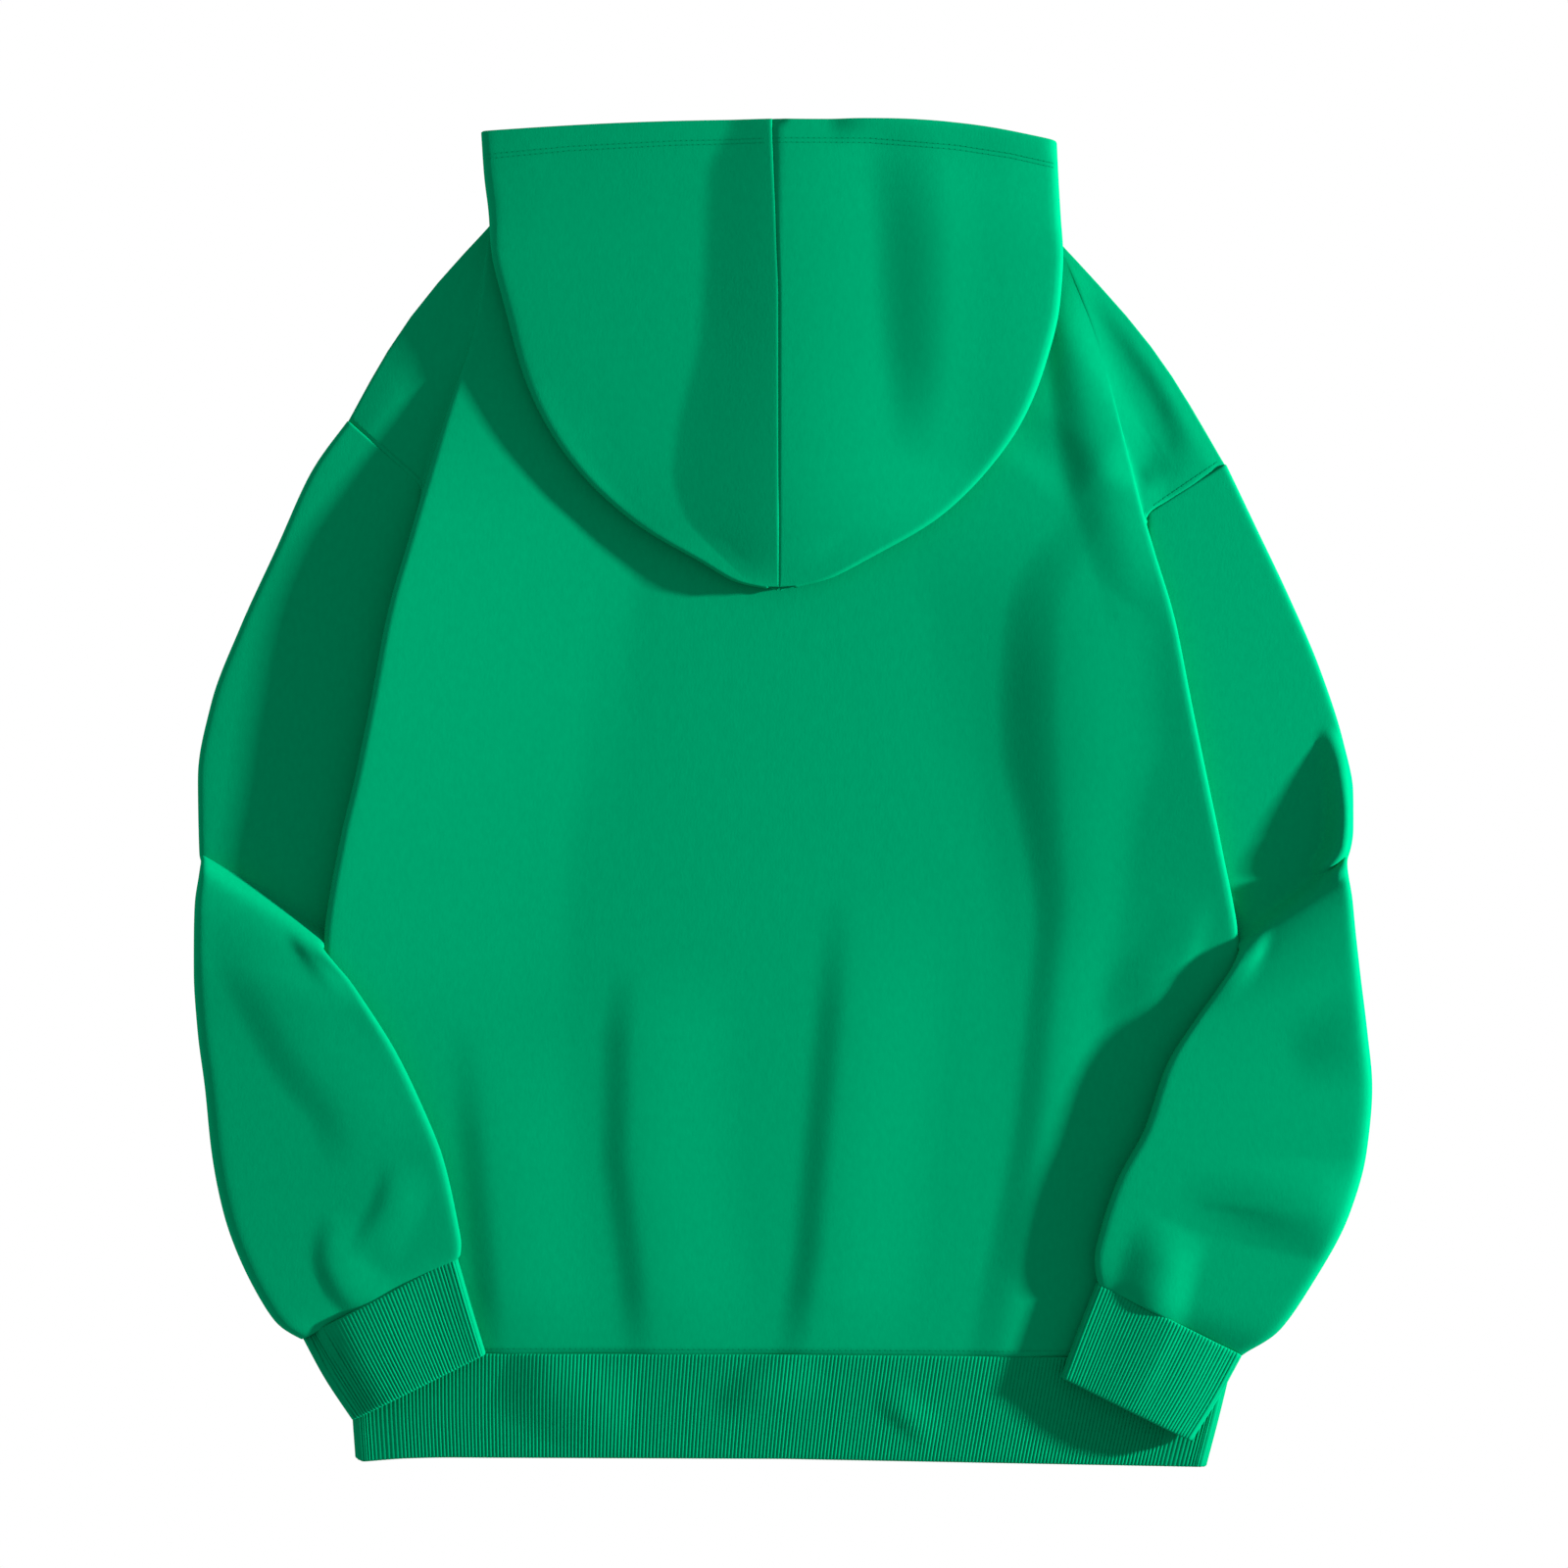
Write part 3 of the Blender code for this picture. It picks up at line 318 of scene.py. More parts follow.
HEM_CREASES = (
    ((34, 0), (30, 0), (-156, -324, 0), (-132, -336, 2), (-108, -346, 1.4), (-84, -350, 0)),
    ((30, 0), (40, 0), (-20, -326, 0), (-12, -340, 1.4), (-8, -356, 0)),
    ((8, 0), (16, 0), (54, -344, 0), (70, -356, 1), (88, -370, 0)),
)
HEM_CORNER = (-229, 10, 5.5)  # where the hem droops at its left corner: x, half width and depth
RIB_PITCH = 2.06
RIB_STEPS = 4  # columns of the net for each rib
RIB_DEPTH = 0.5
RIB_ROUNDNESS = 1.6  # power that makes the tops round and the valleys narrow
CUFF_RIBS = 94
# How far up the puffed upper wall of each forearm reaches near its outer and its inner edge, by row of its table.
PUFF_COLUMNS = ("row", "outer_z", "inner_z")
LEFT_PUFF = (
    (7, 0, 0), (8, 19, 18), (9, 21, 20.5), (10, 22.5, 22.5), (12, 25, 26), (14, 23.5, 23), (16, 21, 21),
    (18, 18.5, 18.5), (19, 15.5, 17),
)
RIGHT_PUFF = (
    (7, 0, 0), (8, 15, 12.5), (9, 21, 15.5), (10, 23, 17.5), (12, 24.5, 21.5), (14, 24, 22.5),
    (16, 22.5, 21), (18, 20, 19.5), (19, 16.5, 18.5),
)
PUFF_EDGE = 0.015  # share of the sleeve's width over which it puffs up from its outer edge

STITCH_LENGTH = 2.4
STITCH_PITCH = 3.2
STITCH_WIDTH = 0.55
STITCH_RISE = 0.2
STITCH_STEEPEST = 2.0  # a stitch that would climb more than this is left out
ABOVE_ALL = 0.2  # in metres, where rays down to the cloth start
HOOD_LEFT_STITCHES = (
    ((-169, 362.5), (-120, 367), (-60, 370), (-7, 371)),
    ((-168.5, 360), (-120, 364.5), (-60, 367.5), (-7, 368.5)),
)
HOOD_RIGHT_STITCHES = (
    ((-4, 371), (50, 371), (100, 367), (130, 362.5), (155, 357)),
    ((-4, 368.5), (50, 368.5), (100, 364.5), (130, 360), (155, 354.5)),
)
BACK_STITCHES = (
    ((-242, -316.5), (0, -317.5), (251, -319)),
    ((-246.5, 214.5), (-205.5, 177.5)),
    ((251, 190), (210, 162)),
)
TEETH_LOW = -364.8  # along the zip, between its bottom box and the slider
TEETH_HIGH = 249.4
TEETH_PITCH = 2.4
TEETH_Z = 4.95
TOOTH_ROOT = 3.5  # from the middle of the zip out to a tooth's outer end
TOOTH_TIP = 0.7  # and past the middle to its inner one
TOOTH_HALF_WIDTH = 0.55
TOOTH_HALF_HEIGHT = 1.1
# Corners of a box are numbered in the order of itertools.product.
BOX_FACES = ((0, 2, 6, 4), (1, 5, 7, 3), (0, 1, 3, 2), (4, 6, 7, 5), (0, 4, 5, 1), (2, 3, 7, 6))

CAMERA_LENS = 100.0  # in mm, as are its sensor and its centre
SENSOR_WIDTH = 36.0
VIEW_WIDTH = 0.896  # of what the camera sees, in metres
VIEW_CENTRE = (1.1, 4.5)
FAR_CLIP = 50.0  # in metres
KEY_DISTANCE = 3.5  # of the lamp from the origin, in metres, as is its size
KEY_ELEVATION = 12.5  # in degrees above the surface
KEY_TURN = 8.0  # in degrees from +X towards +Y
KEY_SIZE = 0.18
KEY_POWER = 324.0  # in watts
FILL = 0.42  # strength of the white world
FLOOR_Z = -0.0003  # in metres, just clear of the cloth that lies on it
FLOOR_HALF = 3.0  # half its width, in metres
FLOOR_GLOW = 1.0
FLEECE_COLOUR = (0.0, 0.32, 0.134)
# The rib is a little darker than the fleece; some of that is painted shade, of the grooves between its ribs.
RIB_COLOUR = (0.0, 0.294, 0.124)
THREAD_COLOUR = RIB_COLOUR
TAPE_COLOUR = (0.0, 0.2, 0.08)
STEEL_COLOUR = (0.62, 0.61, 0.58)
SHEEN_COLOUR = (0.0, 0.9, 0.5)
NAP_SCALE = 1500  # of the noise of the cloth's nap
MOTTLE_SCALE = 420  # and of its colour
BRUSH_SCALE = 900

# The cut that each piece shows: width and length in metres, and area in square metres.
BACK_CUT = (0.58, 0.67), 0.307
FRONT_CUT = (0.29, 0.65), 0.139
SLEEVE_LEFT_CUT = (0.27, 0.56), 0.095
SLEEVE_RIGHT_CUT = (0.27, 0.54), 0.091
HOOD_CUT = (0.24, 0.32), 0.06
CUFF_CUT = (0.2, 0.062), 0.0118
HEM_CUT = (1.02, 0.063), 0.062


def columns(names, table):
    """The table as a dictionary of arrays, one for each named column."""
    return dict(zip(names, np.array(table, float).T))


def spread(lengths, spacing, round_start=False, round_end=False):
    """Where to cut a run of cells of these lengths into steps of about this spacing, as fractional cell numbers. A
    rounded end gets steps close together, because the wall gets thin there."""
    places = [np.linspace(cell, cell + 1, max(2, round(long / spacing)) + 1)[:-1] for cell, long in enumerate(lengths)]
    places = np.concatenate([*places, [len(lengths)]])
    near = np.array(EDGE_STEPS)
    if round_start:
        far = places * lengths[0]
        places = np.union1d(places[far > near[-1] * EDGE_CLEAR], np.concatenate([[0], near / lengths[0]]))
    if round_end:
        last = len(lengths)
        far = (last - places) * lengths[-1]
        places = np.union1d(places[far > near[-1] * EDGE_CLEAR], np.concatenate([[last], last - near / lengths[-1]]))
    return places


def cell_lengths(net, axis):
    """Mean length of the net's cells along one axis."""
    return np.linalg.norm(np.diff(net, axis=axis), axis=2).mean(axis=1 - axis)


def between(net, places):
    """Rows of the net at fractional row numbers, on curves that don't overshoot."""
    before = np.diff(net, axis=0)
    product = before[1:] * before[:-1]
    total = before[1:] + before[:-1]
    inner = np.where(product > 0, 2 * product / np.where(total == 0, 1, total), 0)
    slopes = np.concatenate([before[:1], inner, before[-1:]])
    i = np.minimum(places.astype(int), len(net) - 2)
    t = (places - i).reshape(-1, *[1] * (net.ndim - 1))
    return (
        net[i] * (1 + 2 * t) * (1 - t) ** 2
        + slopes[i] * t * (1 - t) ** 2
        + net[i + 1] * t * t * (3 - 2 * t)
        + slopes[i + 1] * t * t * (t - 1)
    )


def fine(net, spacing, rounded=(True, True, True, True), rounds=6):
    """The net with steps of about this spacing. rounded says which of its first row, last row, first column and last
    column are rounded edges. It is then evened out, apart from the edges. The cuts between the net's rows and columns
    come with it."""
    down = spread(cell_lengths(net, 0), spacing, rounded[0], rounded[1])
    net = between(net, down)
    across = spread(cell_lengths(net, 1), spacing, rounded[2], rounded[3])
    net = between(net.swapaxes(0, 1), across).swapaxes(0, 1)
    for _ in range(rounds):
        net[1:-1] = (net[:-2] + 2 * net[1:-1] + net[2:]) / 4
        net[:, 1:-1] = (net[:, :-2] + 2 * net[:, 1:-1] + net[:, 2:]) / 4
    return net, down, across


def grid_normals(grid, closed):
    """Unit normals of a grid of points, whose last column meets its first one where closed is true."""
    down = np.gradient(grid, axis=0)
    if closed:
        across = (np.roll(grid, -1, axis=1) - np.roll(grid, 1, axis=1)) / 2
    else:
        across = np.gradient(grid, axis=1)
    normals = np.cross(across, down)
    return normals / np.maximum(np.linalg.norm(normals, axis=2, keepdims=True), 1e-9)


def border_distance(grid, closed):
    """How far each point is from the nearest border, along the grid."""
    down = np.linalg.norm(np.diff(grid, axis=0), axis=2)
    from_first = np.concatenate([np.zeros((1, grid.shape[1])), np.cumsum(down, axis=0)])
    far = np.minimum(from_first, from_first[-1:] - from_first)
    if not closed:
        across = np.linalg.norm(np.diff(grid, axis=1), axis=2)
        from_left = np.concatenate([np.zeros((grid.shape[0], 1)), np.cumsum(across, axis=1)], axis=1)
        far = np.minimum(far, np.minimum(from_left, from_left[:, -1:] - from_left))
    return far


def wall(name, grid, thickness, closed=False, holes=None):
    """An object that is a closed wall round the grid's surface, thin at its rounded edges. The grid's last column meets
    its first one where closed is true. holes is true for each cell that is left out."""
    n_rows, n_columns = grid.shape[:2]
    normals = grid_normals(grid, closed)
    reach = np.clip(border_distance(grid, closed) / (thickness / 2), 0, 1)
    half = thickness / 2 * np.sqrt(1 - (1 - reach) ** 2 * EDGE_THINNING)[:, :, None]
    points = np.concatenate([grid + normals * half, grid - normals * half]).reshape(-1, 3) * MM
    index = np.arange(n_rows * n_columns).reshape(n_rows, n_columns)
    if closed:
        index = np.concatenate([index, index[:, :1]], axis=1)
    a, b, c, d = index[:-1, :-1], index[:-1, 1:], index[1:, 1:], index[1:, :-1]
    there = np.ones(a.shape, bool) if holes is None else ~holes
    other = n_rows * n_columns
    quads = [np.stack([d, c, b, a], -1)[there], np.stack([a, b, c, d], -1)[there] + other]
    padded = np.zeros((a.shape[0] + 2, a.shape[1] + 2), bool)
    padded[1:-1, 1:-1] = there
    if closed:
        padded[1:-1, 0], padded[1:-1, -1] = there[:, -1], there[:, 0]
    sides = ((padded[:-2, 1:-1], a, b), (padded[1:-1, 2:], b, c), (padded[2:, 1:-1], c, d), (padded[1:-1, :-2], d, a))
    for neighbour, start, end in sides:
        open_side = there & ~neighbour
        quads.append(np.stack([start, end, end + other, start + other], -1)[open_side])
    faces = np.concatenate(quads)
    used, faces = np.unique(faces, return_inverse=True)
    faces = faces.reshape(-1, 4)
    points = points[used]
    corners = points[faces]
    volume = np.einsum("ij,ij->i", corners[:, 0], np.cross(corners[:, 1], corners[:, 2])).sum()
    volume += np.einsum("ij,ij->i", corners[:, 0], np.cross(corners[:, 2], corners[:, 3])).sum()
    if volume < 0:
        faces = faces[:, ::-1]
    return mesh_object(name, points, faces)


def mesh_object(name, points, faces, smooth=True):
    """An object in the scene from arrays of points, in metres, and of faces with the same number of corners."""
    mesh = bpy.data.meshes.new(name)
    mesh.vertices.add(len(points))
    mesh.vertices.foreach_set("co", np.ascontiguousarray(points, np.float32).ravel())
    mesh.loops.add(faces.size)
    mesh.loops.foreach_set("vertex_index", np.ascontiguousarray(faces, np.int32).ravel())
    mesh.polygons.add(len(faces))
    mesh.polygons.foreach_set("loop_start", np.arange(0, faces.size, faces.shape[1], dtype=np.int32))
    mesh.polygons.foreach_set("use_smooth", np.full(len(faces), smooth))
    mesh.update()
    mesh.validate()
    made = bpy.data.objects.new(name, mesh)
    bpy.context.scene.collection.objects.link(made)
    return made


def creases_at(grid, creases):
    """Height that soft ridges and troughs add at the grid's points. Each is its width and sharpness to the left of its
    route, the same to the right, and the route's points as x, y, height and, where it changes, the share of the widths
    there. Sharpness 0 is a soft bell and 1 a straight ramp."""
    x, y = grid[:, :, 0], grid[:, :, 1]
    total = np.zeros_like(x)
    for (left, left_sharp), (right, right_sharp), *route in creases:
        places = np.linspace(0, len(route) - 1, (len(route) - 1) * CREASE_STEPS + 1)
        route = np.array([(*point, 1)[:4] for point in route], float)
        points = between(route, places) if len(route) > 2 else route
        best = np.stack([np.full(x.shape, 1e9), *np.zeros((3, *x.shape))])
        for start, end in zip(points[:-1], points[1:]):
            along = end[:2] - start[:2]
            long = max(along @ along, 1e-9)
            share = np.clip(((x - start[0]) * along[0] + (y - start[1]) * along[1]) / long, 0, 1)
            dx, dy = x - start[0] - share * along[0], y - start[1] - share * along[1]
            height, scale = (start[k] + (end[k] - start[k]) * share for k in (2, 3))
            # The last value is positive on the left of a route, seen from above with the hood at the top.
            found = np.array([np.hypot(dx, dy), height, scale, along[1] * dx - along[0] * dy])
            best = np.where(found[0] < best[0], found, best)
        nearest, height, scale, off = best
        at_left = off > 0
        near = np.clip(1 - nearest / np.where(at_left, left, right) / scale, 0, 1)
        sharp = np.where(at_left, left_sharp, right_sharp)
        total += height * (sharp * near + (1 - sharp) * near**2 * (2 - near) ** 2)
    return total


def placket_lift(x):
    """How far the front pieces lift near the zip."""
    share = np.clip(1 - (np.abs(x) - PLACKET_X) / PLACKET_WIDTH, 0, 1)
    return PLACKET_RISE * share * share * (3 - 2 * share)


def side_sections(side_table):
    """For each body section: edge, shoulder, foot, roll and crest of its rolled side, from the edge in."""
    side = columns(SIDE_COLUMNS, side_table)
    roll = np.stack([side["roll_x"], side["roll_y"]], axis=1)
    edge = np.stack([side["edge_x"], side["edge_y"]], axis=1)
    inward = np.array([-np.sign(side["roll_x"][0]), 0.0])
    reach = np.linalg.norm(edge - roll, axis=1, keepdims=True)
    edge_z = columns(MIDDLE_COLUMNS, MIDDLE)["edge_z"]
    drop = side["crest_z"] - edge_z
    foot = roll + (edge - roll) / np.maximum(reach, 1e-6) * np.minimum(FOOT_REACH, reach / 2)
    crest = roll + inward * CREST_INSET * np.clip(drop / CREST_FULL, CREST_LEAST, 1)[:, None]
    shoulder = (edge + foot) / 2 + shoulder_bulge(edge, roll)
    places = zip((edge, shoulder, foot, roll, crest), ROLL_SHARES)
    return np.stack([np.column_stack([xy, edge_z + share * drop]) for xy, share in places], axis=1)


def shoulder_bulge(edge, roll):
    """For each body section, how far the middle of its way from the edge to the roll bulges out."""
    along = edge[0] - roll[0]
    out = np.array([along[1], -along[0]]) / np.linalg.norm(along)
    if out[1] < 0:
        out = -out
    bends = np.zeros(len(edge))
    bends[: len(SHOULDER_BEND)] = SHOULDER_BEND
    return SHOULDER_BULGE * bends[:, None] * out


def fold_height(x, y):
    """Height that the back's folds add at a point."""
    total = np.zeros_like(x)
    for route in BACK_FOLDS:
        fold = columns(FOLD_COLUMNS, route[::-1])
        off = x - FOLD_SHIFT - np.interp(y, fold["y"], fold["x"])
        high = np.interp(y, fold["y"], fold["height"], right=0)
        rise = np.clip(1 + off / FOLD_RISE, 0, 1)
        fall = np.clip(1 - off / FOLD_FALL, 0, 1)
        total += high * np.where(off < 0, rise * rise * (3 - 2 * rise), fall * fall * (3 - 2 * fall))
    low_y, share, full_y = SEAM_FADE
    return total * np.interp(y, (low_y, full_y), (share, 1))


def plain_height(x, y):
    """Middle of the back panel's wall above the surface without its folds, between the crests of its rolled sides."""
    spine = columns(SPINE_COLUMNS, SPINE)
    base = np.interp(y, spine["y"], spine["z"])
    z = base.copy()
    for side_table in (LEFT_SIDE, RIGHT_SIDE):
        crest = side_sections(side_table)[::-1, 4]
        crest_x = np.interp(y, crest[:, 1], crest[:, 0])
        crest_z = np.interp(y, crest[:, 1], crest[:, 2])
        near = np.clip(1 - np.abs(x - crest_x) / ROLL_WIDTH, 0, 1)
        z += (crest_z - base) * near**ROLL_POWER
    return z


def lying_height(x, y):
    """Lowest middle height of a single wall that lies on the back or on the hem band at a point."""
    height = plain_height(x, y) + fold_height(x, y)
    left = columns(SIDE_COLUMNS, LEFT_SIDE[::-1])
    right = columns(SIDE_COLUMNS, RIGHT_SIDE[::-1])
    out_left = np.interp(y, left["roll_y"], left["roll_x"]) - x
    out_right = x - np.interp(y, right["roll_y"], right["roll_x"])
    outside = np.maximum(out_left, out_right)
    cover = np.clip(1 - (outside - COVER_REACH) / COVER_FADE, 0, 1)
    hem_top = columns(HEM_COLUMNS, HEM)["upper_z"].max() + RIB / 2
    top = np.where(y > HEM_SEAM_Y, height + FLEECE / 2, hem_top)
    top = np.maximum(top, np.where(y > HEM_SEAM_Y - HEM_COVER, hem_top, 0))
    return np.where(cover > 0, top, 0) * cover * cover * (3 - 2 * cover) + LYING_GAP + FLEECE / 2


def front_neck_y(x, neck):
    """The front neckline, from the end of the shoulder seam down to the zip."""
    g = np.clip((abs(neck[0]) - np.abs(x)) / (abs(neck[0]) - PLACKET_X), 0, 1)
    return neck[1] - (neck[1] - MIDDLE[0][1]) * np.sin(math.pi / 2 * g) ** NECK_FRONT_FULLNESS


def upness(grid, closed):
    """How much each point of a grid faces up, from 0 to 1. The first half of its columns is in the upper wall."""
    up = grid_normals(grid, closed)[:, :, 2]
    return np.clip(up * np.sign(up[:, : grid.shape[1] // 2].mean()), 0, 1)


def back_panel():
    """Rolled side, back between the crests, and the other rolled side of each section."""
    left = side_sections(LEFT_SIDE)
    right = side_sections(RIGHT_SIDE)[:, ::-1]
    dip = columns(MIDDLE_COLUMNS, MIDDLE)["dip"]
    inner = []
    for f in np.arange(1, BACK_SPANS) / BACK_SPANS:
        xy = left[:, 4, :2] * (1 - f) + right[:, 0, :2] * f
        xy[:, 1] -= NECK_BACK_DIP * dip * math.sin(math.pi * f) ** NECK_BACK_FULLNESS
        inner.append(np.column_stack([xy, plain_height(xy[:, 0], xy[:, 1])]))
    net = np.concatenate([left, np.stack(inner, axis=1), right], axis=1)
    grid, _, _ = fine(net, BODY_STEP, rounds=2)
    heights = fold_height(grid[:, :, 0], grid[:, :, 1]) + creases_at(grid, BACK_CREASES)
    grid[:, :, 2] += heights * upness(grid, False)
    return wall("back", grid, FLEECE)


def front_panel(name, side_table, neck, zip_side):
    """Flat sections from armhole or side seam to the zip; the first one follows shoulder seam and neckline."""
    side = side_sections(side_table)
    middle = columns(MIDDLE_COLUMNS, MIDDLE)
    shares = np.linspace(0, 1, FRONT_SPANS + 1)[1:]
    rows = []
    bulge = shoulder_bulge(side[:, 0, :2], side[:, 3, :2])
    for k, (edge, _, _, roll, _) in enumerate(side[:, :, :2]):
        at_shoulder = k < SHOULDER_ROWS
        start = roll if at_shoulder else edge + (FRONT_TUCK * -edge[0], 0)
        row = [edge * (1 - f) + start * f + bulge[k] * math.sin(math.pi * f) for f in (0, 1 / 3, 2 / 3, 1)]
        end = np.array([zip_side * PLACKET_X, middle["front_y"][k]])
        bend = NECK_BEND[k] if at_shoulder else 0
        for f in shares:
            point = start * (1 - f) + end * f
            curve_y = start[1] + (end[1] - start[1]) * (
                (front_neck_y(point[0], neck) - neck[1]) / (MIDDLE[0][1] - neck[1])
            )
            row.append(np.array([point[0], point[1] * (1 - bend) + curve_y * bend]))
        rows.append(row)
    net = np.array(rows)
    net = np.concatenate([net, np.full(net[:, :, :1].shape, FRONT_Z)], axis=2)
    grid, _, _ = fine(net, FRONT_STEP)
    grid[:, :, 2] += placket_lift(grid[:, :, 0])
    return wall(name, grid, FLEECE)


def tube_net(table, loft, thickness, first_over, puff=()):
    """A flattened tube: a ring of wall points around each section's line from outer to inner edge. From the row
    first_over on it lies on the body. puff says how high its upper wall is in some rows."""
    section = columns(SLEEVE_COLUMNS, table)
    shares = np.array(TUBE_SHARES)
    outer = np.stack([section["outer_x"], section["outer_y"]], axis=1)[:, None]
    inner = np.stack([section["inner_x"], section["inner_y"]], axis=1)[:, None]
    xy = outer + (inner - outer) * shares[None, :, None]
    climb = np.clip(shares[None] / section["climb"][:, None], 0, 1)
    climb = climb * climb * (3 - 2 * climb)
    z = section["outer_z"][:, None] * (1 - climb) + section["inner_z"][:, None] * climb
    over = lying_height(xy[:, :, 0], xy[:, :, 1]) + loft + (thickness - FLEECE) / 2
    over[:first_over] = 0
    middle = np.concatenate([xy, np.maximum(z, over)[:, :, None]], axis=2)
    normals = grid_normals(middle, False)
    if normals[0, 0, 2] < 0:
        normals = -normals
    half = loft * np.clip(1 - np.abs(2 * shares - 1) ** TUBE_SQUARENESS, 0, 1) ** 0.5
    upper = middle + normals * half[None, :, None]
    if puff:
        puff = columns(PUFF_COLUMNS, puff)
        row = np.arange(len(table))
        outer_z, inner_z = (np.interp(row, puff["row"], puff[side])[:, None] for side in ("outer_z", "inner_z"))
        rise = 1 - np.clip(1 - shares / PUFF_EDGE, 0, 1) ** 2
        upper[:, :, 2] = np.maximum(upper[:, :, 2], (outer_z + (inner_z - outer_z) * shares) * rise)
    lower = middle - normals * half[None, :, None]
    return np.concatenate([upper, lower[:, -2:0:-1], upper[:, :1]], axis=1)


def sleeve(name, table, puff, creases):
    """A tube from the armhole, folded over at the elbow, to the cuff's seam."""
    net = tube_net(table, SLEEVE_LOFT, FLEECE, FOREARM_ROW, puff)
    grid, _, _ = fine(net, SLEEVE_STEP, (True, True, False, False), rounds=4)
    ring = grid[:, :-1]
    ring[:, :, 2] += upness(ring, True) * creases_at(ring, creases)
    return wall(name, ring, FLEECE, closed=True)


def rib_columns(net, ribs):
    """The net with RIB_STEPS columns to every rib."""
    reach = np.concatenate([[0], np.cumsum(cell_lengths(net, 1))])
    places = np.linspace(0, reach[-1], ribs * RIB_STEPS + 1)
    return between(net.swapaxes(0, 1), np.interp(places, reach, np.arange(len(reach)))).swapaxes(0, 1)


def ribbed_wall(name, grid, ribs, closed=False):
    """A wall of rib knit, whose ribs have rounded tops."""
    turn = np.cos(2 * math.pi * (np.arange(grid.shape[1]) / (ribs * RIB_STEPS)) * ribs)
    height = RIB_DEPTH * (0.5 - (0.5 - 0.5 * turn) ** RIB_ROUNDNESS)
    return wall(name, grid + grid_normals(grid, closed) * height[None, :, None], RIB, closed)


def cuff(name, table, creases):
    """A ribbed tube."""
    net = tube_net(table, CUFF_LOFT, RIB, 0)
    net = between(net, spread(cell_lengths(net, 0), CUFF_STEP, True, True))
    grid = rib_columns(net, CUFF_RIBS)[:, :-1]
    grid[:, :, 2] += upness(grid, True) * creases_at(grid, creases)
    return ribbed_wall(name, grid, CUFF_RIBS, closed=True)


def hood_net(table, neck, inner_x, arc):
    """Sections of one half of the hood, from the centre seam over the upper wall, round its side and back below."""
    hood = {**columns(HOOD_SEAM_COLUMNS, HOOD_SEAM), **columns(HOOD_COLUMNS, table)}
    chin_end = np.array([inner_x, MIDDLE[0][1] + CHIN_WIDTH])
    rows = []
    for k in range(len(table)):
        at = {column: values[k] for column, values in hood.items()}
        seam = np.array([at["seam_x"], at["seam_y"]])
        side = np.array([at["side_x"], at["side_y"]])
        width = np.linalg.norm(side - seam)
        over_back = k >= NECK_ROWS
        lower = []
        for g in HOOD_LOWER_SHARES:
            if over_back:
                point = side + (np.array([inner_x, at["seam_y"] - HOOD_END_DROP]) - side) * g
                z = lying_height(point[0], point[1]) + HOOD_CLEARANCE
            else:
                down = k / (NECK_ROWS - 1)
                opening = side + (chin_end - side) * g
                along_x = side[0] + (chin_end[0] - side[0]) * g
                at_neck = np.array([along_x, front_neck_y(along_x, neck) + CHIN_GAP])
                if abs(along_x) > abs(neck[0]):
                    share = (abs(side[0]) - abs(along_x)) / (abs(side[0]) - abs(neck[0]))
                    at_neck[1] = side[1] + (neck[1] + CHIN_GAP - side[1]) * share
                point = opening * (1 - down) + at_neck * down
                z = FRONT_Z + placket_lift(point[0])
            lower.append([*point, float(z)])
        low_z = lower[0][2]
        row = []
        for share in HOOD_UPPER_SHARES:
            # Near the side the wall bends over in the same way on any width.
            f = share if share < HOOD_TURN_SHARE else 1 - (1 - share) * min(1.0, HOOD_TURN_WIDTH / width)
            point = seam + (side - seam) * f
            if k < len(ARC_BEND):
                point[1] += arc[0] * ARC_BEND[k] * math.sin(math.pi * f ** arc[1])
            z = at["seam_z"] + (at["shoulder_z"] - at["seam_z"]) * share**2
            if over_back:
                z = max(z, float(lying_height(point[0], point[1])) + HOOD_CLEARANCE + HOOD_LOFT)
            row.append([*point, z - (HOOD_RIM_DROP * (z - low_z) if share > HOOD_RIM_SHARE else 0)])
        row.append([*side, (row[-1][2] + low_z) / 2])
        rows.append(row + lower)
    return np.array(rows)


def hood_half(name, table, neck, inner_x, arc, creases):
    """One half of the hood, whose lower wall is slit between what lies on the back and what reaches to the zip."""
    net = hood_net(table, neck, inner_x, arc)
    first_lower = len(HOOD_UPPER_SHARES) + 1
    grid, down, across = fine(net, HOOD_STEP, rounds=2)
    up = upness(grid, False)
    up[:, across > first_lower] = 0
    grid[:, :, 2] += up * creases_at(grid, creases)
    middle_down, middle_across = (down[1:] + down[:-1]) / 2, (across[1:] + across[:-1]) / 2
    slit = (middle_down > NECK_ROWS - 1) & (middle_down < NECK_ROWS)
    holes = slit[:, None] & (middle_across > first_lower)[None]
    return wall(name, grid, FLEECE, holes=holes)


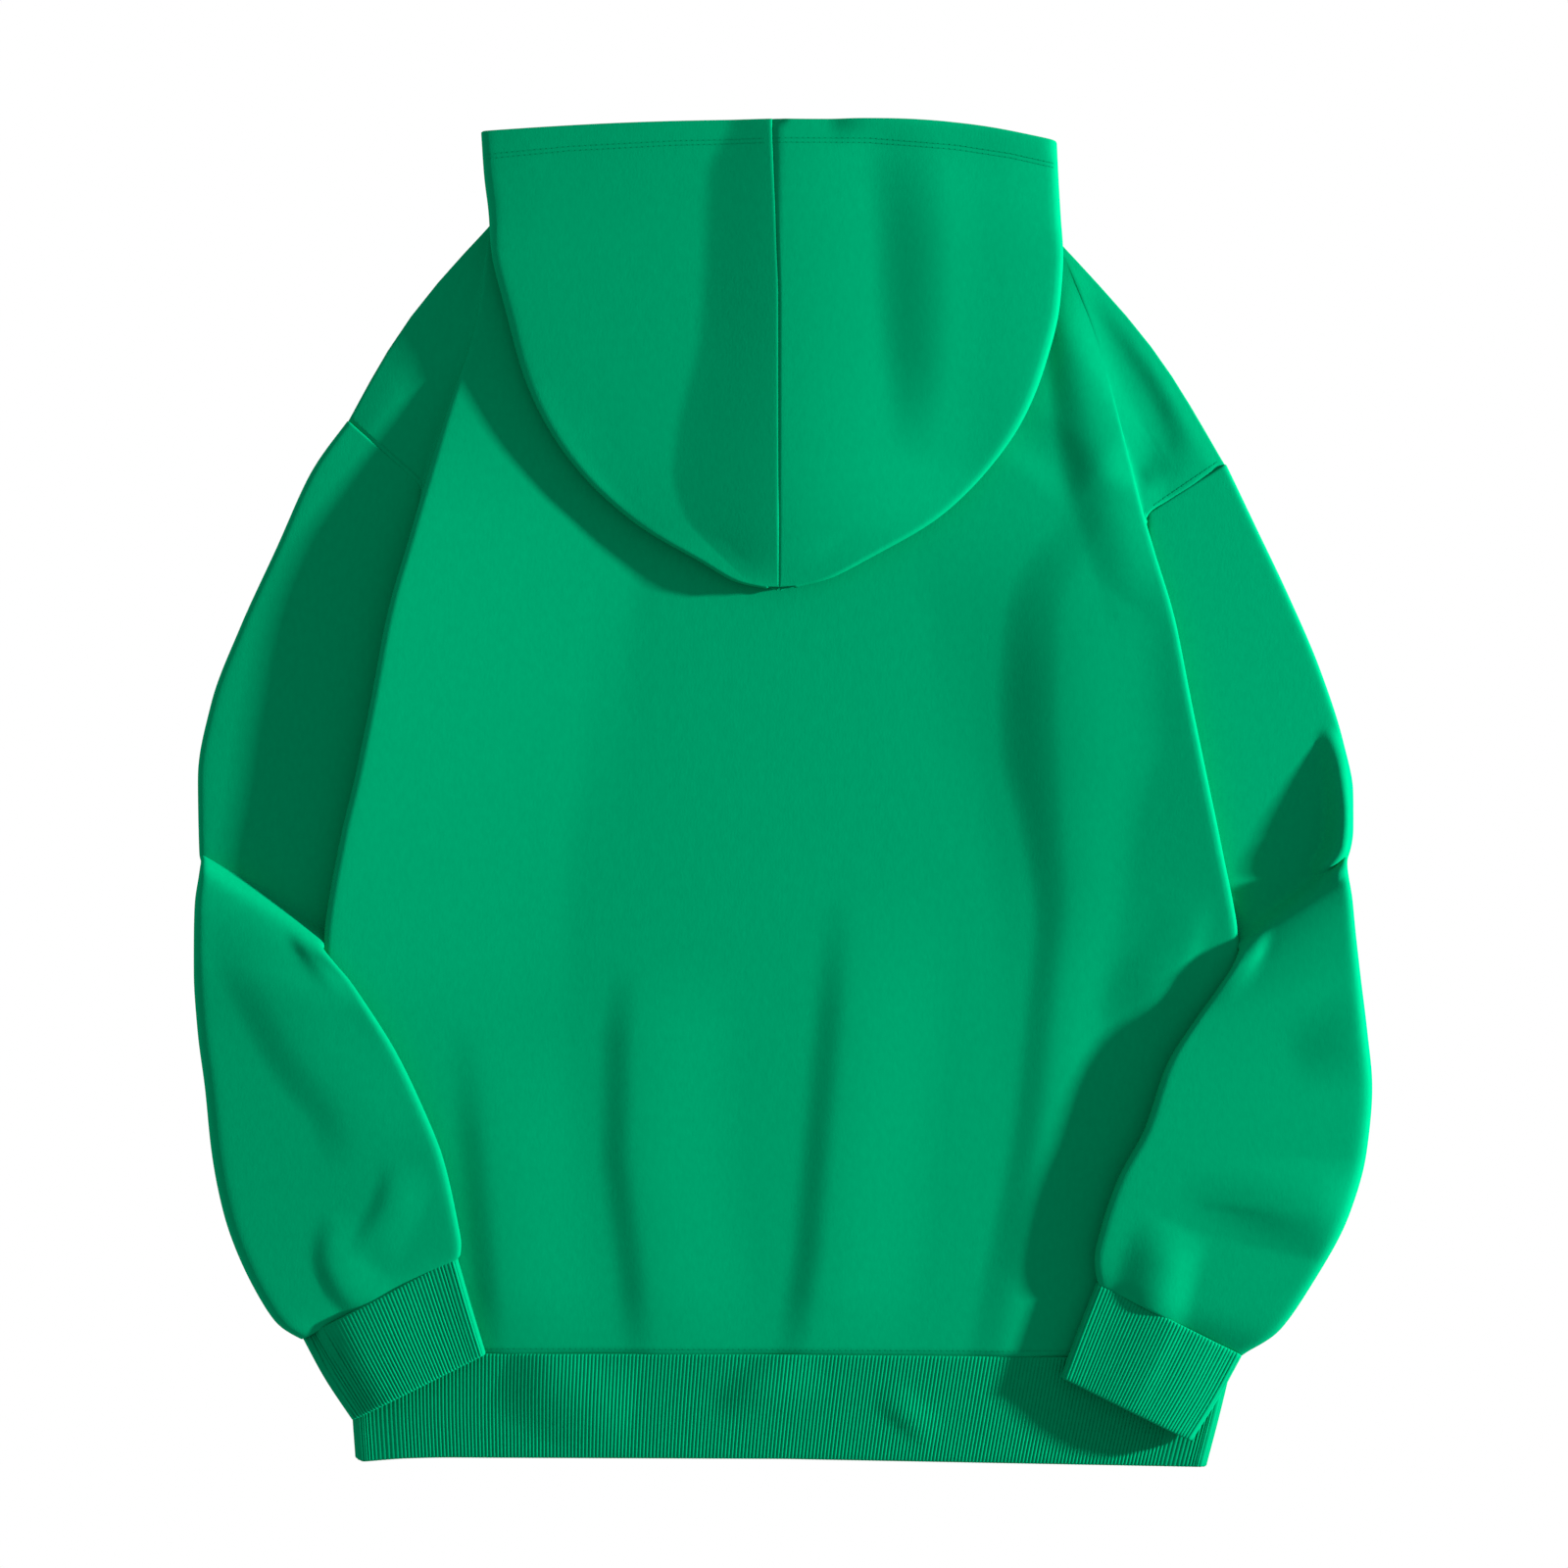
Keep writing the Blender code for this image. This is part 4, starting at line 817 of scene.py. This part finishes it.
def hem_band():
    """A ribbed band from the zip round the body and back to the zip."""
    hem = columns(HEM_COLUMNS, HEM)
    rows = []
    for k in range(len(HEM)):
        at = {column: values[k] for column, values in hem.items()}
        left, right = at["left_x"], at["right_x"]
        fold_z = (HEM_FRONT_Z + at["upper_z"]) / 2

        def layer(start, end, count, z):
            """Points across the row at height z."""
            across = np.linspace(start, end, count)
            up = np.interp(across, (left, 0, right), (at["left_y"], at["middle_y"], at["right_y"]))
            return [[x, y, z] for x, y in zip(across, up)]

        row = layer(-PLACKET_X, left + HEM_TURN, HEM_FRONT_POINTS, HEM_FRONT_Z)
        row.append([left, at["left_y"], fold_z])
        row += layer(left + HEM_TURN, right - HEM_TURN, HEM_BACK_POINTS, at["upper_z"])
        row.append([right, at["right_y"], fold_z])
        row += layer(right - HEM_TURN, PLACKET_X, HEM_FRONT_POINTS, HEM_FRONT_Z)
        rows.append(row)
    net = np.array(rows)
    net = between(net, spread(cell_lengths(net, 0), HEM_STEP, True, True))
    corner_x, corner_width, corner_depth = HEM_CORNER
    nearness = np.exp(-(((net[:, :, 0] - corner_x) / corner_width) ** 2))
    net[:, :, 1] -= corner_depth * np.linspace(0, 1, len(net))[:, None] ** 2 * nearness
    ribs = round(cell_lengths(net, 1).sum() / RIB_PITCH)
    grid = rib_columns(net, ribs)
    on_table = grid[:, :, 2] < HEM_PARTED
    grid[:, :, 2] += np.where(on_table, placket_lift(grid[:, :, 0]), creases_at(grid, HEM_CREASES))
    return ribbed_wall("hem", grid, ribs)


def boxes(name, corners):
    """One object of many small boxes, each given by its eight corners in mm."""
    corners = np.array(corners)
    faces = np.array(BOX_FACES)[None] + 8 * np.arange(len(corners))[:, None, None]
    return mesh_object(name, corners.reshape(-1, 3) * MM, faces.reshape(-1, 4), smooth=False)


def stitches(name, host, routes):
    """Sewn stitches along routes over the upper wall of a piece."""
    tree = BVHTree.FromObject(host, bpy.context.evaluated_depsgraph_get())
    made = []
    for route in routes:
        route = np.array(route, float)
        reach = np.concatenate([[0], np.cumsum(np.linalg.norm(np.diff(route, axis=0), axis=1))])
        for start in np.arange(0, reach[-1] - STITCH_LENGTH, STITCH_PITCH):
            ends = []
            for at in (start, start + STITCH_LENGTH):
                x, y = (np.interp(at, reach, route[:, axis]) for axis in (0, 1))
                found = tree.ray_cast((x * MM, y * MM, ABOVE_ALL), (0, 0, -1))[0]
                if found is not None:
                    ends.append(np.array(found) / MM)
            if len(ends) < 2 or abs(ends[1][2] - ends[0][2]) > STITCH_STEEPEST:
                continue
            along = (ends[1] - ends[0])[:2] / np.linalg.norm((ends[1] - ends[0])[:2])
            across = np.array([-along[1], along[0], 0]) * STITCH_WIDTH / 2
            up = np.array([0, 0, STITCH_RISE])
            made.append([end + side * across + lift * up for end in ends for side in (-1, 1) for lift in (-1, 1)])
    return boxes(name, made)


def zip_teeth():
    """The closed chain: teeth of both sides, each clamped on its tape and reaching past the middle."""
    made = []
    for side in (-1, 1):
        for y in np.arange(TEETH_LOW + (TEETH_PITCH / 2 if side > 0 else 0), TEETH_HIGH, TEETH_PITCH):
            spans = (
                sorted((side * TOOTH_ROOT, -side * TOOTH_TIP)),
                (y - TOOTH_HALF_WIDTH, y + TOOTH_HALF_WIDTH),
                (TEETH_Z - TOOTH_HALF_HEIGHT, TEETH_Z + TOOTH_HALF_HEIGHT),
            )
            made.append(list(itertools.product(*spans)))
    return boxes("zip_teeth", made)


def set_inputs(node, values):
    """Sets these inputs of a shader node, by name."""
    for name, value in values.items():
        node.inputs[name].default_value = value


def add_node(tree, kind, values=None):
    """A new shader node with these inputs set."""
    node = tree.nodes.new("ShaderNode" + kind)
    set_inputs(node, values or {})
    return node


def link(tree, source, output, target, target_input):
    """Links one node's output to another's input, each by name or number."""
    tree.links.new(source.outputs[output], target.inputs[target_input])


def new_material(name, colour, roughness, metallic=0.0):
    """A material, its node tree and its Principled node."""
    made = bpy.data.materials.new(name)
    made.use_nodes = True
    shader = made.node_tree.nodes["Principled BSDF"]
    set_inputs(shader, {"Base Color": (*colour, 1), "Roughness": roughness, "Metallic": metallic})
    return made, made.node_tree, shader


def noise(tree, source, scale, detail, stretch=(1, 1, 1)):
    """Noise over object coordinates in metres, stretched along an axis by a small number there."""
    mapping = add_node(tree, "Mapping", {"Scale": stretch})
    texture = add_node(tree, "TexNoise", {"Scale": scale, "Detail": detail})
    link(tree, source, "Object", mapping, "Vector")
    link(tree, mapping, "Vector", texture, "Vector")
    return texture


def knit(name, colour, pitch, bump_depth, contrast):
    """Matt knitted cloth: fine vertical wales and a soft nap in its bump, and a colour that varies a little."""
    made, tree, shader = new_material(name, colour, roughness=0.92)
    sheen = {"Sheen Weight": 0.04, "Sheen Roughness": 0.6, "Sheen Tint": (*SHEEN_COLOUR, 1)}
    set_inputs(shader, {"Specular IOR Level": 0.0, **sheen})
    source = add_node(tree, "TexCoord")
    nap = noise(tree, source, NAP_SCALE, 2)
    wales = noise(tree, source, 1 / (pitch * MM), 3, (1, 0.3, 1))
    mix = add_node(tree, "Math")
    mix.operation = "ADD"
    link(tree, nap, "Fac", mix, 0)
    link(tree, wales, "Fac", mix, 1)
    bump = add_node(tree, "Bump", {"Strength": 1.0, "Distance": bump_depth * MM})
    link(tree, mix, 0, bump, "Height")
    link(tree, bump, "Normal", shader, "Normal")
    ramp = add_node(tree, "ValToRGB")
    for stop, position, share in zip(ramp.color_ramp.elements, (0.3, 0.7), (1 - contrast, 1 + contrast)):
        stop.position = position
        stop.color = (*(c * share for c in colour), 1)
    link(tree, noise(tree, source, MOTTLE_SCALE, 4, (1, 0.45, 1)), "Fac", ramp, "Fac")
    link(tree, ramp, "Color", shader, "Base Color")
    return made


def metal(name):
    """Brushed grey metal, rougher in some places than in others."""
    made, tree, shader = new_material(name, STEEL_COLOUR, roughness=0.32, metallic=1.0)
    source = add_node(tree, "TexCoord")
    rough = add_node(tree, "MapRange", {"To Min": 0.24, "To Max": 0.44})
    link(tree, noise(tree, source, BRUSH_SCALE, 3, (1, 0.2, 1)), "Fac", rough, "Value")
    link(tree, rough, "Result", shader, "Roughness")
    return made


def make_camera():
    """A camera straight above, which sees VIEW_WIDTH at the surface."""
    data = bpy.data.cameras.new("camera")
    data.lens = CAMERA_LENS
    data.sensor_width = SENSOR_WIDTH
    camera = bpy.data.objects.new("camera", data)
    distance = VIEW_WIDTH / 2 / (SENSOR_WIDTH / 2 / CAMERA_LENS)
    camera.location = (VIEW_CENTRE[0] * MM, VIEW_CENTRE[1] * MM, distance)
    data.clip_end = FAR_CLIP
    bpy.context.scene.collection.objects.link(camera)
    bpy.context.scene.camera = camera


def make_floor():
    """A pure white floor without shadows, as in the photo, which a view from below sees through."""
    corners = ((-1, -1), (1, -1), (1, 1), (-1, 1))
    points = np.array([(x * FLOOR_HALF, y * FLOOR_HALF, FLOOR_Z) for x, y in corners])
    floor = mesh_object("floor", points, np.array([[0, 1, 2, 3]]), smooth=False)
    made, tree, shader = new_material("floor_white", (0, 0, 0), roughness=1.0)
    glow = {"Emission Color": (1, 1, 1, 1), "Emission Strength": FLOOR_GLOW}
    set_inputs(shader, {"Specular IOR Level": 0.0, **glow})
    geometry = add_node(tree, "NewGeometry")
    clear = add_node(tree, "BsdfTransparent")
    mix = add_node(tree, "MixShader")
    link(tree, geometry, "Backfacing", mix, "Fac")
    link(tree, shader, "BSDF", mix, 1)
    link(tree, clear, "BSDF", mix, 2)
    link(tree, mix, "Shader", tree.nodes["Material Output"], "Surface")
    floor.data.materials.append(made)


def make_lights():
    """A small lamp low at the right, and a white world that fills the shadows."""
    data = bpy.data.lights.new("key", "AREA")
    data.shape = "SQUARE"
    data.size = KEY_SIZE
    data.energy = KEY_POWER
    key = bpy.data.objects.new("key", data)
    up, turn = math.radians(KEY_ELEVATION), math.radians(KEY_TURN)
    direction = (math.cos(up) * math.cos(turn), math.cos(up) * math.sin(turn), math.sin(up))
    key.location = [KEY_DISTANCE * c for c in direction]
    key.rotation_euler = (0, math.pi / 2 - up, turn)
    bpy.context.scene.collection.objects.link(key)
    world = bpy.data.worlds.new("world")
    bpy.context.scene.world = world
    world.use_nodes = True
    set_inputs(world.node_tree.nodes["Background"], {"Color": (1, 1, 1, 1), "Strength": FILL})
    bpy.context.scene.view_settings.view_transform = "Standard"


def dress(piece, material, node):
    """A piece of cloth in place of one node."""
    piece.data.materials.append(material)
    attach(piece, "garment")
    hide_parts(node)


def fit(piece, material, slot, *nodes):
    """A smaller piece, in place of these nodes where there are any."""
    piece.data.materials.append(material)
    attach(piece, "garment")
    if nodes:
        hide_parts(*nodes)


def main():
    """The stage, every cloth piece in place of its node, the stitches and the zip."""
    make_camera()
    make_floor()
    make_lights()
    fleece = knit("fleece", FLEECE_COLOUR, pitch=0.9, bump_depth=0.05, contrast=0.035)
    rib = knit("rib", RIB_COLOUR, pitch=0.7, bump_depth=0.02, contrast=0.04)
    tape = knit("tape", TAPE_COLOUR, pitch=0.5, bump_depth=0.05, contrast=0.03)
    steel = metal("zip_metal")
    back = back_panel()
    front_left = front_panel("front_left", LEFT_SIDE, NECK_LEFT, -1)
    front_right = front_panel("front_right", RIGHT_SIDE, NECK_RIGHT, 1)
    arm_left = sleeve("arm_left", LEFT_SLEEVE, LEFT_PUFF, SLEEVE_LEFT_CREASES)
    arm_right = sleeve("arm_right", RIGHT_SLEEVE, RIGHT_PUFF, SLEEVE_RIGHT_CREASES)
    hood_left = hood_half(
        "hood_half_left", LEFT_HOOD, NECK_LEFT, HOOD_INNER_LEFT, HOOD_ARC_LEFT, HOOD_LEFT_CREASES
    )
    hood_right = hood_half(
        "hood_half_right", RIGHT_HOOD, NECK_RIGHT, HOOD_INNER_RIGHT, HOOD_ARC_RIGHT, HOOD_RIGHT_CREASES
    )
    for piece, node, cut, under in (
        (back, "back_panel", BACK_CUT, ("front_left", "front_right")),
        (front_left, "front_panel_left", FRONT_CUT, ("floor",)),
        (front_right, "front_panel_right", FRONT_CUT, ("floor",)),
        (arm_left, "sleeve_left", SLEEVE_LEFT_CUT, ("back",)),
        (arm_right, "sleeve_right", SLEEVE_RIGHT_CUT, ("back",)),
        (hood_left, "hood_left", HOOD_CUT, ("back",)),
        (hood_right, "hood_right", HOOD_CUT, ("back",)),
    ):
        dress(piece, fleece, node)
    cuff_left = cuff("rib_cuff_left", LEFT_CUFF, CUFF_LEFT_CREASES)
    cuff_right = cuff("rib_cuff_right", RIGHT_CUFF, CUFF_RIGHT_CREASES)
    for piece, node, cut, under in (
        (cuff_left, "cuff_left", CUFF_CUT, ("back",)),
        (cuff_right, "cuff_right", CUFF_CUT, ("back",)),
        (hem_band(), "hem_band", HEM_CUT, ("floor",)),
    ):
        dress(piece, rib, node)
    thread = knit("thread", THREAD_COLOUR, pitch=0.4, bump_depth=0.03, contrast=0.02)
    for name, host, routes in (
        ("stitches_hood_left", hood_left, HOOD_LEFT_STITCHES),
        ("stitches_hood_right", hood_right, HOOD_RIGHT_STITCHES),
        ("stitches_back", back, BACK_STITCHES),
    ):
        fit(stitches(name, host, routes), thread, "green_fleece")
    fit(zip_teeth(), steel, "zip_metal", "zip_chain")
    for name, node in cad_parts.items():
        if name.startswith("zip"):
            node.material_slots[0].material = tape if name.startswith("zip_tape") else steel


main()
